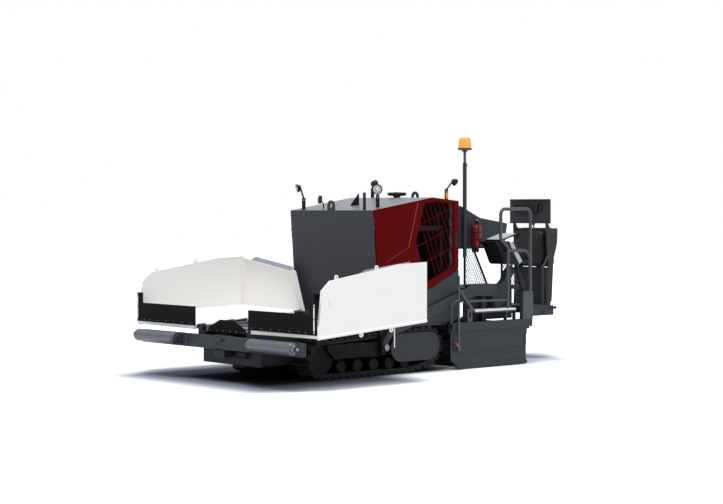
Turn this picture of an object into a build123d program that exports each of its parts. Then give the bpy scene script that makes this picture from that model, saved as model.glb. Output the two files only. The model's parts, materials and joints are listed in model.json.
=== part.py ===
from build123d import *
import os
from math import cos, hypot, pi, radians, sin

# Compact tracked asphalt paver with folding hopper wings and an extendable screed.
# Millimetres. +X is the paving direction, +Y the machine's left, +Z up.
# The origin is on the ground, midway between the push rollers and the seat back.

# ---------------------------------------------------------------- driving dimensions
HOOD_HALF_WIDTH = 650
HOOD_FRONT_X = 794
HOOD_REAR_X = -450
HOOD_PEAK_X = -65
HOOD_FRONT_Z = 1687
HOOD_PEAK_Z = 1823
HOOD_REAR_Z = 1787
HOOD_RAKE = 40 / 587                 # the front wall leans back this much per mm of height
HOOD_SHEET = 8
BAY_FLOOR_Z = 870                    # floor of the engine bay, roof of the conveyor tunnel
LOWER_BODY_Z = 505

EYE_PLACES = ((784, 0), (-430, 0))   # lifting eyes on the roof's centre line
EYE_R = 54
EYE_RISE = 50
EYE_BORE_R = 24
EYE_HALF_THICK = 8

EXHAUST_X = 450
CAP_X = -158
# bracket x and y, centre of the lens, direction the lamp looks, radius
ROOF_LAMPS = (
    (586, 500, (600, 508, 1905), (0.75, 0.62, -0.10), 52),
    (735, -500, (806, -528, 1920), (0.85, -0.45, -0.25), 42),
    (-260, -500, (-300, -500, 1975), (-1.0, 0.0, -0.15), 46),
    (-412, 500, (-545, 505, 1985), (-0.85, 0.15, -0.50), 38),
)

DOOR_THICK = 12
DOOR_GAP = 6
DOOR_FRONT_X = 777
DOOR_REAR_X = -448
DOOR_BOTTOM_Z = 852
HINGE_X = 779                        # door hinge axis at the height of the front edge
HINGE_Y = 644
KNUCKLE_R = 6
DOOR_PIN_R = 4
DOOR_KNUCKLES = (960, 1540)
VENT_OUTLINE = [(60, 1762), (182, 1368), (112, 1165), (7, 932), (-378, 1100), (-378, 1762), (-113, 1786)]
GRILLE_EDGE = [(66, 1770), (190, 1368), (120, 1162), (11, 921), (-386, 1095), (-386, 1770), (-113, 1794)]
GRILLE_PITCH = 69
GRILLE_LEAN = 0.41                   # the bars lean to the rear on their way down
CREASE = ((153, 1775), (297, 1413), (622, 1243))

FRAME_HALF_WIDTH = 370
FRAME_FRONT_X = 2100
FRAME_REAR_X = -300
FRAME_TOP_Z = 480
FRAME_BOTTOM_Z = 160

CONVEYOR_HALF_WIDTH = 325
CONVEYOR_FRONT_X = 2150
CONVEYOR_FRONT_Z = 505
CONVEYOR_REAR_X = -330
CONVEYOR_REAR_Z = 590

WING_OUTER_Y = 1455
WING_WALL = 28
WING_FRONT_X = 2219
WING_REAR_X = 810
WING_HINGE_Y = 432
WING_HINGE_FRONT_Z = 520
WING_HINGE_SLOPE = 0.066             # the hinge line rises this much per mm towards the rear
WING_BOTTOM_FRONT_Z = 500
WING_BOTTOM_REAR_Z = 605
WING_HINGE_PIN_R = 12
WING_KNUCKLES = (2040, 1510, 1000)
WING_EYES_TOP = (1979, 1468)
WING_EYES_LOW = (1671, 1281)
FRAME_KNUCKLES = (2146, 1775, 1255, 890)
FLAP_THICK = 10

TRACK_INNER_Y = 420
TRACK_OUTER_Y = 640
BELT_THICK = 28
SHOE_HEIGHT = 30
SHOE_COUNT = 42
# x, z, radius of the belt's outer surface round each wheel: idler, sprocket, rear ground roller
TRACK_WHEELS = [(1444, 205, 175), (-6, 270, 175), (262, 120, 90)]

PUSH_BEAM_FRONT_X = 2268
PUSH_BEAM_HALF = 1290
PUSH_PIVOT_X = 2200
ROLLER_X = 2343
ROLLER_Z = 400
ROLLER_R = 63
ROLLER_INNER_Y = 640
ROLLER_OUTER_Y = 1300

TOW_PIN_X = 650
TOW_PIN_Z = 290
TOW_PIN_R = 20
TOW_ARM_INNER_Y = 665
TOW_ARM_OUTER_Y = 690

SCREED_FRONT_X = -575
SCREED_REAR_X = -940
SCREED_HALF = 600
SCREED_BOTTOM_Z = 45
EXTENSION_FRONT_X = -965
EXTENSION_REAR_X = -1400
GATE_FRONT_X = -256
GATE_REAR_X = -1506
GATE_OUTER_Y = 750
BEAM_BOTTOM_Z = 385
BEAM_TOP_Z = 497
STEP_TOP_Z = 622
SLIDE_TUBE_R = 30
SLIDE_TUBE_Z = 435
SLIDE_TUBE_X = (-1060, -1300)

AUGER_X = -430
AUGER_Z = 265
AUGER_R = 130
AUGER_PITCH = 210

SPINE_Z = 840
SPINE_HALF_WIDTH = 300
SPINE_REAR_X = -1880
BOX_BOTTOM_Z = 1265
RAIL_Y = 732
RAIL_R = 18

SEAT_CENTRE_Y = 70
SEAT_HALF_WIDTH = 245
PLATFORM_FRONT_X = -1885
PLATFORM_REAR_X = -2250
SEAT_HINGE_X = -2205
SEAT_HINGE_Z = 1048
SEAT_SLIDE_X = -2050                 # flat bar that the seat platform slides on

CRANK_X = -330
CRANK_Y = 770

MAST_X = -866
MAST_Y = 330

SIDES = (("left", 1), ("right", -1))
PARTS = {}


# ---------------------------------------------------------------- small tools
def block(x0, x1, y0, y1, z0, z1):
    """Box between two opposite corners."""
    return Pos((x0 + x1) / 2, (y0 + y1) / 2, (z0 + z1) / 2) * Box(abs(x1 - x0), abs(y1 - y0), abs(z1 - z0))


def side_plate(outline, y0, y1):
    """Plate with its outline given as (x, z), between y0 and y1."""
    face = make_face(Polyline(*[(x, y0, z) for x, z in outline], close=True).edges())
    return extrude(face, amount=y1 - y0, dir=(0, 1, 0))


def cross_plate(outline, x0, x1):
    """Plate with its outline given as (y, z), between x0 and x1."""
    face = make_face(Polyline(*[(x0, y, z) for y, z in outline], close=True).edges())
    return extrude(face, amount=x1 - x0, dir=(1, 0, 0))


def flat_plate(outline, z0, z1):
    """Plate with its outline given as (x, y), between z0 and z1."""
    face = make_face(Polyline(*[(x, y, z0) for x, y in outline], close=True).edges())
    return extrude(face, amount=z1 - z0, dir=(0, 0, 1))


def rod(start, end, radius):
    """Round bar between two points."""
    plane = Plane(origin=start, z_dir=Vector(*end) - Vector(*start))
    return plane * Cylinder(radius, (Vector(*end) - Vector(*start)).length,
                            align=(Align.CENTER, Align.CENTER, Align.MIN))


def disc(x, y0, y1, z, radius):
    """Round disc on an axis across the machine."""
    return rod((x, y0, z), (x, y1, z), radius)


def pipe(points, radius, bend):
    """Bent round bar along a path of straight runs with one bend radius."""
    path = FilletPolyline(*points, radius=bend)
    start = Plane(origin=path @ 0, z_dir=path % 0)
    return sweep(start * Circle(radius), path=path)


def mirrored(shape):
    return mirror(shape, about=Plane.XZ)


def on_side(shape, sign):
    """The shape as made for the left side, or its mirror image for the right."""
    return shape if sign > 0 else mirrored(shape)


def keep(name, *shapes):
    """Fuse what touches and store the result as one node."""
    whole = shapes[0]
    for shape in shapes[1:]:
        whole = whole + shape
    PARTS[name] = whole


def hinge_z(x):
    """Height of the wing hinge line."""
    return WING_HINGE_FRONT_Z + (WING_FRONT_X - x) * WING_HINGE_SLOPE


def hood_front(z):
    """X of the front wall's outer face at a height."""
    return HOOD_FRONT_X - (HOOD_FRONT_Z - z) * HOOD_RAKE


# ---------------------------------------------------------------- chassis
def main_frame():
    side = side_plate([(FRAME_FRONT_X, FRAME_BOTTOM_Z), (FRAME_FRONT_X, FRAME_TOP_Z),
                       (FRAME_REAR_X, FRAME_TOP_Z), (FRAME_REAR_X, 250), (100, FRAME_BOTTOM_Z)],
                      FRAME_HALF_WIDTH - 25, FRAME_HALF_WIDTH)
    belly = block(100, FRAME_FRONT_X, -FRAME_HALF_WIDTH, FRAME_HALF_WIDTH, FRAME_BOTTOM_Z, FRAME_BOTTOM_Z + 12)
    nose = block(FRAME_FRONT_X - 25, FRAME_FRONT_X, -460, 460, FRAME_BOTTOM_Z, 312)
    pivot_block = block(FRAME_FRONT_X - 25, PUSH_PIVOT_X + 60, -90, 90, 240, 312)
    pivot_pin = rod((PUSH_PIVOT_X, 0, 300), (PUSH_PIVOT_X, 0, 462), 25)
    bulkhead = block(FRAME_REAR_X, FRAME_REAR_X + 20, -FRAME_HALF_WIDTH, FRAME_HALF_WIDTH, 250, 470)
    shapes = [side, mirrored(side), belly, nose, pivot_block, pivot_pin, bulkhead]
    for bumper_y in (-190, 190):
        shapes.append(disc(FRAME_FRONT_X + 22, bumper_y - 85, bumper_y + 85, 262, 28))
    for beam_x in (330, 1130):
        shapes.append(block(beam_x - 70, beam_x + 70, -TRACK_INNER_Y - 10, TRACK_INNER_Y + 10, 190, 300))
    for sign in (1, -1):
        for bracket_x in FRAME_KNUCKLES:
            z = hinge_z(bracket_x)
            bracket = (block(bracket_x - 40, bracket_x + 40, FRAME_HALF_WIDTH - 25, WING_HINGE_Y, z - 90, z + 12)
                       - block(bracket_x - 50, bracket_x + 50, 0, FRAME_HALF_WIDTH - 25, 0, 900)
                       - block(bracket_x - 50, bracket_x + 50, 0, FRAME_HALF_WIDTH + 1, FRAME_TOP_Z, 900))
            knuckle = rod((bracket_x + 40, WING_HINGE_Y, hinge_z(bracket_x + 40)),
                          (bracket_x - 40, WING_HINGE_Y, hinge_z(bracket_x - 40)), 24)
            shapes.append(on_side(bracket + knuckle, sign))
        pin = rod((2180, WING_HINGE_Y, hinge_z(2180)), (845, WING_HINGE_Y, hinge_z(845)), WING_HINGE_PIN_R)
        shapes.append(on_side(pin, sign))
    keep("main_frame", *shapes, *auger_carrier())


def conveyor():
    top_front, top_rear = CONVEYOR_FRONT_Z, CONVEYOR_REAR_Z
    floor = side_plate([(CONVEYOR_FRONT_X, top_front - 16), (CONVEYOR_FRONT_X, top_front),
                        (CONVEYOR_REAR_X, top_rear), (CONVEYOR_REAR_X, top_rear - 16)],
                       -CONVEYOR_HALF_WIDTH, CONVEYOR_HALF_WIDTH)
    slope = (top_rear - top_front) / (CONVEYOR_FRONT_X - CONVEYOR_REAR_X)
    shapes = [floor]
    for slat_index in range(10):
        slat_x = CONVEYOR_FRONT_X - 90 - slat_index * 250
        slat_z = top_front + slope * (CONVEYOR_FRONT_X - slat_x)
        shapes.append(block(slat_x - 16, slat_x + 16, -290, 290, slat_z - 2, slat_z + 14))
    rail = side_plate([(CONVEYOR_FRONT_X, 470), (CONVEYOR_FRONT_X, top_front + 35),
                       (CONVEYOR_REAR_X, top_rear + 35), (CONVEYOR_REAR_X, 470)],
                      CONVEYOR_HALF_WIDTH, FRAME_HALF_WIDTH - 25)
    keep("conveyor", *shapes, rail, mirrored(rail))


def apron_flap():
    """Rubber apron that closes the front of the conveyor."""
    outline = [(-320, 470), (-285, 525), (-110, 602), (110, 602), (285, 525), (320, 470)]
    keep("apron_flap", cross_plate(outline, CONVEYOR_FRONT_X, CONVEYOR_FRONT_X + 10))


def belt_outline(wheels, inset):
    """Closed loop of tangent lines and arcs round the wheels, moved in by an inset."""
    edges = []
    count = len(wheels)
    corners = []
    for index in range(count):
        x0, z0, r0 = wheels[index]
        x1, z1, r1 = wheels[(index + 1) % count]
        length = hypot(x1 - x0, z1 - z0)
        ux, uz = (x1 - x0) / length, (z1 - z0) / length
        along = (r0 - r1) / length
        across = (1 - along * along) ** 0.5
        # outward normal of the tangent line; the loop runs anticlockwise seen with +X right, +Z up
        nx, nz = along * ux + across * uz, along * uz - across * ux
        corners.append(((x0 + (r0 - inset) * nx, z0 + (r0 - inset) * nz),
                        (x1 + (r1 - inset) * nx, z1 + (r1 - inset) * nz), (nx, nz)))
    for index in range(count):
        start, end, normal = corners[index]
        next_start, _, next_normal = corners[(index + 1) % count]
        x1, z1, r1 = wheels[(index + 1) % count]
        mid = Vector(normal[0] + next_normal[0], 0, normal[1] + next_normal[1]).normalized()
        middle = (x1 + mid.X * (r1 - inset), 0, z1 + mid.Z * (r1 - inset))
        edges.append(Line((start[0], 0, start[1]), (end[0], 0, end[1])))
        edges.append(ThreePointArc((end[0], 0, end[1]), middle, (next_start[0], 0, next_start[1])))
    return Wire(edges)


def track():
    # the wheels in anticlockwise order as seen with +X right and +Z up
    order = [TRACK_WHEELS[0], TRACK_WHEELS[1], TRACK_WHEELS[2]]
    outer = belt_outline(order, 0)
    inner = belt_outline(order, BELT_THICK)
    belt = extrude(Face(outer, [inner]), amount=TRACK_OUTER_Y - TRACK_INNER_Y, dir=(0, 1, 0))
    belt = Pos(0, TRACK_INNER_Y, 0) * belt
    foot, tip = 42, 32
    shoes = []
    for index in range(SHOE_COUNT):
        where = (index + 0.5) / SHOE_COUNT
        base, run = outer @ where, outer % where
        normal = Vector(-run.Z, 0, run.X)
        if (base - Vector(700, 0, 230)).dot(normal) < 0:
            normal = -normal
        corners = [base - run * foot - normal * 6, base + run * foot - normal * 6,
                   base + run * tip + normal * SHOE_HEIGHT, base - run * tip + normal * SHOE_HEIGHT]
        shoes.append(side_plate([(p.X, p.Z) for p in corners], TRACK_INNER_Y, TRACK_OUTER_Y))
    return belt + shoes


def running_gear():
    """Idler, sprocket and rollers on their axles, inside the track loop."""
    idler_x, idler_z, idler_r = TRACK_WHEELS[0]
    sprocket_x, sprocket_z, sprocket_r = TRACK_WHEELS[1]
    y0, y1 = TRACK_INNER_Y + 32, TRACK_OUTER_Y - 35
    shapes = [disc(idler_x, y0, y1, idler_z, idler_r - BELT_THICK - 2),
              disc(sprocket_x, y0, y1, sprocket_z, sprocket_r - BELT_THICK - 2)]
    for roller_x in (300, 520, 740, 960, 1180):
        shapes.append(disc(roller_x, y0, y1, 30 + BELT_THICK + 62, 60))
    shapes.append(disc(720, y0, y1, 338, 38))
    return shapes


def track_frame():
    beam = block(150, 1260, TRACK_INNER_Y + 62, TRACK_OUTER_Y - 62, 196, 292)
    guard = side_plate([(1394, 352), (1394, 292), (1290, 205), (700, 205), (690, 240), (690, 352)],
                       TRACK_OUTER_Y - 12, TRACK_OUTER_Y + 4)
    web = block(760, 1240, TRACK_OUTER_Y - 64, TRACK_OUTER_Y - 10, 210, 285)
    cheek = side_plate([(-70, 235), (-70, 305), (1480, 305), (1480, 150), (1200, 95), (280, 95)],
                       TRACK_INNER_Y + 10, TRACK_INNER_Y + 32)
    bridge = block(1180, 1262, TRACK_INNER_Y + 30, TRACK_OUTER_Y - 62, 200, 290)
    return [beam, guard, web, cheek, bridge]


def drive_cover():
    """Rounded cover over the sprocket and its gearbox."""
    plate = block(40, 400, TRACK_OUTER_Y + 3, TRACK_OUTER_Y + 19, 124, 423)
    round_end = disc(-10, TRACK_OUTER_Y + 3, TRACK_OUTER_Y + 19, 273.5, 149.5)
    filler = block(-10, 60, TRACK_OUTER_Y + 3, TRACK_OUTER_Y + 19, 124, 423)
    front_end = disc(400, TRACK_OUTER_Y + 3, TRACK_OUTER_Y + 19, 273.5, 149.5)
    hub = disc(-6, TRACK_OUTER_Y - 35, TRACK_OUTER_Y + 10, 270, 95)
    return [plate + round_end + filler + front_end, hub]


# ---------------------------------------------------------------- hood
def hood_profile(inset, bottom):
    """Outline of the hood in X, Z down to a height, moved in by an inset at the top and ends."""
    return [(hood_front(bottom) - inset, bottom),
            (HOOD_FRONT_X - inset, HOOD_FRONT_Z - inset),
            (HOOD_PEAK_X, HOOD_PEAK_Z - inset),
            (HOOD_REAR_X + inset, HOOD_REAR_Z - inset),
            (HOOD_REAR_X + inset, bottom)]


def door_outline(front_gap, margin):
    """Outline of the side door in X, Z; a positive margin makes it larger."""
    front = HINGE_X - front_gap
    foot_x = front - (HOOD_FRONT_Z - DOOR_BOTTOM_Z) * HOOD_RAKE
    return [(foot_x + margin, DOOR_BOTTOM_Z - margin),
            (21, DOOR_BOTTOM_Z - margin),
            (DOOR_REAR_X - margin, 1066 - margin),
            (DOOR_REAR_X - margin, HOOD_REAR_Z - 10 + margin),
            (HOOD_PEAK_X, HOOD_PEAK_Z - 12 + margin),
            (front + margin, HOOD_FRONT_Z - 12 + margin)]


def hood_shell():
    """Roof, front wall, rear wall and posts of the hood above the bay floor, open at both sides."""
    wide = HOOD_HALF_WIDTH
    body = side_plate(hood_profile(0, BAY_FLOOR_Z), -wide, wide)
    body = body - side_plate(hood_profile(HOOD_SHEET, BAY_FLOOR_Z - 5), -(wide - 26), wide - 26)
    for sign in (1, -1):
        front = HOOD_FRONT_X - HOOD_SHEET - 1
        recess = side_plate([(front - (HOOD_FRONT_Z - 840) * HOOD_RAKE, 840), (21, 840), (DOOR_REAR_X - 9, 1060),
                             (DOOR_REAR_X - 9, HOOD_REAR_Z - HOOD_SHEET + 4),
                             (HOOD_PEAK_X, HOOD_PEAK_Z - HOOD_SHEET + 2),
                             (front, HOOD_FRONT_Z - HOOD_SHEET + 2)],
                            wide - DOOR_THICK - DOOR_GAP, wide + 1)
        window = side_plate([(640, 900), (60, 900), (-332, 1090), (-332, 1770), (HOOD_PEAK_X, 1790), (690, 1650)],
                            wide - 60, wide + 1)
        body = body - on_side(recess, sign) - on_side(window, sign)
    shapes = [body]
    for hinge_piece in door_hinge(True):
        shapes += [hinge_piece, mirrored(hinge_piece)]
    keep("hood_shell", *shapes)


def engine():
    """Closed-in engine with its pumps as one plain block on the bay floor."""
    keep("engine_block", block(-120, 640, -270, 270, BAY_FLOOR_Z, 1500))


def cooler_pack():
    """Upright cooler across the rear of the bay with the rail that carries it."""
    core = block(-300, -245, -520, 520, BAY_FLOOR_Z, 1690)
    rail = block(-300, 90, 540, 565, 1471, 1529)
    stay = block(-300, -245, 515, 545, 1471, 1529)
    foot = block(-290, -255, 540, 565, BAY_FLOOR_Z, 1480)
    keep("cooler_pack", core, rail, stay, mirrored(rail), mirrored(stay), foot, mirrored(foot))


def roof_height(x):
    """Height of the roof's outer face."""
    if x > HOOD_PEAK_X:
        return HOOD_FRONT_Z + (HOOD_PEAK_Z - HOOD_FRONT_Z) * (HOOD_FRONT_X - x) / (HOOD_FRONT_X - HOOD_PEAK_X)
    return HOOD_PEAK_Z - (HOOD_PEAK_Z - HOOD_REAR_Z) * (HOOD_PEAK_X - x) / (HOOD_PEAK_X - HOOD_REAR_X)


def lifting_eyes():
    """Two eyes on the roof's centre line, one at each end of the hood, each with a shackle bore."""
    eyes = []
    for x, y in EYE_PLACES:
        z = roof_height(x)
        foot = block(x - EYE_HALF_THICK, x + EYE_HALF_THICK, y - EYE_R, y + EYE_R, z - 4, z + EYE_RISE)
        crown = rod((x - EYE_HALF_THICK, y, z + EYE_RISE), (x + EYE_HALF_THICK, y, z + EYE_RISE), EYE_R)
        bore = rod((x - 20, y, z + EYE_RISE), (x + 20, y, z + EYE_RISE), EYE_BORE_R)
        eyes.append(foot + crown - bore)
    return eyes


def roof_fittings():
    """Exhaust, air cleaner cap and the work lamps on the roof."""
    hood_solid = side_plate(hood_profile(0, LOWER_BODY_Z), -HOOD_HALF_WIDTH, HOOD_HALF_WIDTH)
    z = roof_height(EXHAUST_X)
    stack = rod((EXHAUST_X, 0, z - 30), (EXHAUST_X, 0, z + 135), 44) - rod((EXHAUST_X, 0, z - 60), (EXHAUST_X, 0, z + 160), 39)
    slash = Pos(EXHAUST_X, 0, 0) * Rot(0, 0, -42) * Pos(44, 0, z + 10) * Rot(0, -35, 0) * Pos(120, 0, 0) * Box(240, 300, 500)
    PARTS["exhaust_pipe"] = stack - slash - hood_solid
    x = CAP_X
    z = roof_height(x)
    dome = Polyline((0, z - 15), (36, z - 15), (38, z + 26), (84, z + 30), (102, z + 38), (102, z + 52))
    crown = Spline((102, z + 52), (70, z + 66), (0, z + 70), tangents=[(0, 1), (-1, 0)])
    close = Line((0, z + 70), (0, z - 15))
    section = make_face((dome.edges() + crown.edges() + close.edges()))
    cap = Pos(x, 0, 0) * revolve(Plane.XZ * section, axis=Axis.Z)
    PARTS["air_cleaner_cap"] = cap - hood_solid
    lamps, lenses = [], []
    for foot_x, foot_y, place, aim, head_r in ROOF_LAMPS:
        bowl, lens = lamp(place, aim, head_r, 44)
        z = roof_height(foot_x)
        elbow = Vector(*place) - Vector(*aim).normalized() * 38
        top_z = min(elbow.Z - 12, z + 125)
        plate = block(foot_x - 22, foot_x + 22, foot_y - 5, foot_y + 5, z - 20, top_z)
        plate = plate - rod((foot_x, foot_y - 9, top_z - 24), (foot_x, foot_y + 9, top_z - 24), 8)
        arm = rod((foot_x, foot_y, top_z - 8), (elbow.X, elbow.Y, elbow.Z), 9)
        lamps.append(bowl + plate + arm - hood_solid)
        lenses.append(lens)
    # slim post at the front edge and the round mirror on its stalk
    z = roof_height(770)
    lamps.append(block(762, 778, 486, 514, z - 20, z + 180) - hood_solid)
    z = roof_height(630)
    stalk = pipe([(630, -300, z - 20), (630, -300, z + 40), (668, -300, z + 85)], 7, 12)
    mirror_disc = rod((668, -300, z + 88), (684, -306, z + 90), 44)
    lamps.append(stalk + mirror_disc - hood_solid)
    PARTS["work_lamps"] = Compound(children=lamps)
    PARTS["lifting_eyes"] = Compound(children=[eye - hood_solid for eye in lifting_eyes()])
    PARTS["lamp_lenses"] = Compound(children=lenses)


def side_door():
    """Side door with its grille opening, pressed crease, handle pocket and hinge barrels."""
    door = side_plate(door_outline(8, 0), HOOD_HALF_WIDTH - DOOR_THICK, HOOD_HALF_WIDTH)
    vent = side_plate(VENT_OUTLINE, HOOD_HALF_WIDTH - DOOR_THICK - 1, HOOD_HALF_WIDTH + 1)
    pocket = side_plate([(-398, 1455), (-398, 1293), (-436, 1293), (-436, 1455)],
                        HOOD_HALF_WIDTH - 8, HOOD_HALF_WIDTH + 1)
    grip = block(-424, -410, HOOD_HALF_WIDTH - 9, HOOD_HALF_WIDTH - 2, 1300, 1448)
    door = door - vent - pocket + grip
    for (x0, z0), (x1, z1) in zip(CREASE, CREASE[1:]):
        door = door - side_plate([(x0 - 3, z0), (x0 + 3, z0), (x1 + 3, z1), (x1 - 3, z1)],
                                 HOOD_HALF_WIDTH - 2, HOOD_HALF_WIDTH + 1)
    return [door, grille_bars(), *door_hinge(False)]


def grille_bars():
    """Slanted bars welded behind the sheet across the vent, with three rows of cross bars square to them."""
    y0, y1 = HOOD_HALF_WIDTH - DOOR_THICK + 0.5, HOOD_HALF_WIDTH - DOOR_THICK + 6.5
    outline = side_plate(GRILLE_EDGE, y0, y1)
    bars = []
    for index in range(9):
        x = 202 - index * GRILLE_PITCH
        bars.append(side_plate([(x, 1790), (x + 7, 1790), (x + 7 - GRILLE_LEAN * 880, 910),
                                (x - GRILLE_LEAN * 880, 910)], y0, y1))
    for row_z in (1581, 1368, 1155):
        bars.append(side_plate([(200, row_z - 76), (200, row_z - 69), (-400, row_z + 159), (-400, row_z + 152)],
                               y0, y1))
    mesh = bars[0]
    for bar in bars[1:]:
        mesh = mesh + bar
    return mesh & outline


# ---------------------------------------------------------------- hopper
def wing():
    """Folding hopper half: outer wall, sloping floor, back wall with its flange, bottom tube and eyes."""
    wall_outline = [(2219, WING_BOTTOM_FRONT_Z), (2163, 944), (2059, 1034), (1174, 1168),
                    (WING_REAR_X, 1184), (WING_REAR_X, WING_BOTTOM_REAR_Z)]
    wall = side_plate(wall_outline, WING_OUTER_Y - WING_WALL, WING_OUTER_Y)
    inner_y, wall_y = WING_HINGE_Y + 30, WING_OUTER_Y - 5
    front = make_face(Polyline((2219, inner_y, 492), (2219, inner_y, 532), (2219, wall_y, 618),
                               (2219, wall_y, WING_BOTTOM_FRONT_Z), close=True).edges())
    rear = make_face(Polyline((WING_REAR_X, inner_y, 585), (WING_REAR_X, inner_y, 628),
                              (WING_REAR_X, wall_y, 650), (WING_REAR_X, wall_y, WING_BOTTOM_REAR_Z),
                              close=True).edges())
    floor = loft([front, rear], ruled=True)
    back = cross_plate([(462, 600), (390, 622), (540, 1045), (1390, 1172), (WING_OUTER_Y - 3, 1184),
                        (WING_OUTER_Y - 3, 610)], WING_REAR_X, WING_REAR_X + 22)
    # the foot of the flange stays narrow, so that it passes the frame's hinge bracket as the wing folds
    flange = cross_plate([(400, 640), (414, 640), (554, 1038), (540, 1045)], WING_REAR_X, WING_REAR_X + 34)
    flange = flange + cross_plate([(426, 715), (440, 715), (554, 1038), (540, 1045)], WING_REAR_X, WING_REAR_X + 62)
    cap = cross_plate([(540, 1045), (1390, 1172), (1392, 1158), (546, 1031)], WING_REAR_X, WING_REAR_X + 62)
    slope = (WING_BOTTOM_REAR_Z - WING_BOTTOM_FRONT_Z) / (WING_FRONT_X - WING_REAR_X)
    tube_z = WING_BOTTOM_FRONT_Z + 4
    tube = rod((2214, WING_OUTER_Y - 6, tube_z), (WING_REAR_X + 4, WING_OUTER_Y - 6, tube_z + slope * 1405), 17)
    shapes = [wall, floor, back, flange, cap, tube]
    for x in WING_EYES_TOP:
        z = 1034 + (2059 - x) * (1168 - 1034) / (2059 - 1174)
        eye = block(x - 20, x + 20, WING_OUTER_Y - 20, WING_OUTER_Y - 8, z - 8, z + 22)
        eye = eye + disc(x, WING_OUTER_Y - 20, WING_OUTER_Y - 8, z + 22, 20)
        shapes.append(eye - disc(x, WING_OUTER_Y - 30, WING_OUTER_Y, z + 22, 9))
    for x in WING_EYES_LOW:
        z = tube_z + (2214 - x) * slope - 32
        eye = block(x - 18, x + 18, WING_OUTER_Y - 14, WING_OUTER_Y - 4, z, z + 32)
        eye = eye + disc(x, WING_OUTER_Y - 14, WING_OUTER_Y - 4, z, 24)
        shapes.append(eye - disc(x, WING_OUTER_Y - 30, WING_OUTER_Y, z, 9))
    hook_x = WING_EYES_LOW[1] - 42
    shapes.append(rod((hook_x, WING_OUTER_Y - 8, 570), (hook_x, WING_OUTER_Y - 8, 368), 5))
    for x in WING_KNUCKLES:
        z = hinge_z(x)
        leaf = block(x - 60, x + 60, WING_HINGE_Y, inner_y + 20, z - 14, z + 14)
        barrel = rod((x + 60, WING_HINGE_Y, hinge_z(x + 60)), (x - 60, WING_HINGE_Y, hinge_z(x - 60)), 24)
        bore = rod((x + 90, WING_HINGE_Y, hinge_z(x + 90)), (x - 90, WING_HINGE_Y, hinge_z(x - 90)),
                   WING_HINGE_PIN_R + 0.1)
        shapes.append(leaf + barrel - bore)
    return shapes


def wing_flap():
    """Rubber flap across the front of the wing, its corner plate and the clamp strips."""
    x0 = WING_FRONT_X
    outline = [(430, 530), (430, 723), (1345, 723), (1345, 830), (1447, 830), (1447, 530)]
    flap = cross_plate(outline, x0, x0 + FLAP_THICK)
    strip = cross_plate([(445, 540), (445, 565), (1330, 565), (1330, 540)], x0 + FLAP_THICK - 1, x0 + FLAP_THICK + 6)
    clamp = cross_plate([(1405, 545), (1405, 818), (1432, 818), (1432, 545)], x0 + FLAP_THICK - 1, x0 + FLAP_THICK + 8)
    for z in (590, 655, 720, 785):
        clamp = clamp - rod((x0, 1418, z), (x0 + 40, 1418, z), 5)
    return [flap, strip, clamp]


# ---------------------------------------------------------------- push beam
def push_beam():
    """Beam across the front with the roller brackets, its bolt pads and the centre bracket."""
    beam = block(PUSH_BEAM_FRONT_X - 46, PUSH_BEAM_FRONT_X, -PUSH_BEAM_HALF, PUSH_BEAM_HALF, 320, 452)
    boss = block(PUSH_PIVOT_X - 60, PUSH_BEAM_FRONT_X - 10, -150, 150, 320, 452)
    bore = rod((PUSH_PIVOT_X, 0, 300), (PUSH_PIVOT_X, 0, 470), 25.1)
    centre = block(PUSH_BEAM_FRONT_X - 5, PUSH_BEAM_FRONT_X + 28, -75, 75, 396, 428)
    shapes = [beam + boss - bore, centre]
    for sign in (1, -1):
        pad = block(PUSH_BEAM_FRONT_X - 5, PUSH_BEAM_FRONT_X + 10, 500, 562, 334, 440)
        shapes.append(on_side(pad, sign))
        for y in (560, PUSH_BEAM_HALF):
            ear = side_plate([(PUSH_BEAM_FRONT_X - 5, 335), (PUSH_BEAM_FRONT_X - 5, 452), (ROLLER_X, 442),
                              (ROLLER_X + 30, 420), (ROLLER_X + 30, 378), (ROLLER_X, 356)], y, y + 16)
            shapes.append(on_side(ear, sign))
        axle = disc(ROLLER_X, 562, PUSH_BEAM_HALF + 14, ROLLER_Z, 16)
        shapes.append(on_side(axle, sign))
    keep("push_beam", *shapes)


def push_roller():
    """Truck push roller with stepped ends."""
    y0, y1 = ROLLER_INNER_Y - 50, ROLLER_OUTER_Y - 20
    section = [(y0, 30), (y0, 50), (y0 + 18, 50), (y0 + 18, ROLLER_R - 6), (y0 + 30, ROLLER_R),
               (y1 - 34, ROLLER_R), (y1 - 22, ROLLER_R - 6), (y1 - 22, 50), (y1, 46), (y1, 30)]
    face = make_face(Polyline(*[(ROLLER_X + r, y, ROLLER_Z) for y, r in section], close=True).edges())
    body = revolve(face, axis=Axis((ROLLER_X, 0, ROLLER_Z), (0, 1, 0)))
    core = disc(ROLLER_X, y0, y1, ROLLER_Z, 31) - disc(ROLLER_X, 500, 1400, ROLLER_Z, 16.1)
    return body + core


# ---------------------------------------------------------------- screed
def tow_arm():
    outline = [(TOW_PIN_X + 40, 250), (TOW_PIN_X + 40, 330), (560, 500), (21, 677), (-470, 829),
               (-640, 890), (-640, 760), (-470, 714), (21, 562), (560, 395), (612, 330), (612, 250)]
    arm = side_plate(outline, TOW_ARM_INNER_Y, TOW_ARM_OUTER_Y)
    arm = arm - disc(TOW_PIN_X, TOW_ARM_INNER_Y - 1, TOW_ARM_OUTER_Y + 1, TOW_PIN_Z, TOW_PIN_R + 0.1)
    neck = side_plate([(-600, 775), (-600, 890), (-1095, 890), (-1150, 935), (-1185, 1010), (-1236, 1058),
                       (-1290, 1068), (-1322, 1035), (-1250, 940), (-1225, 860), (-1170, 720), (-1090, 640),
                       (-1010, 640), (-960, 760)], 590, TOW_ARM_INNER_Y)
    leg = block(-925, -865, 560, 600, 400, 860)
    return [arm, neck, leg]


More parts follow.
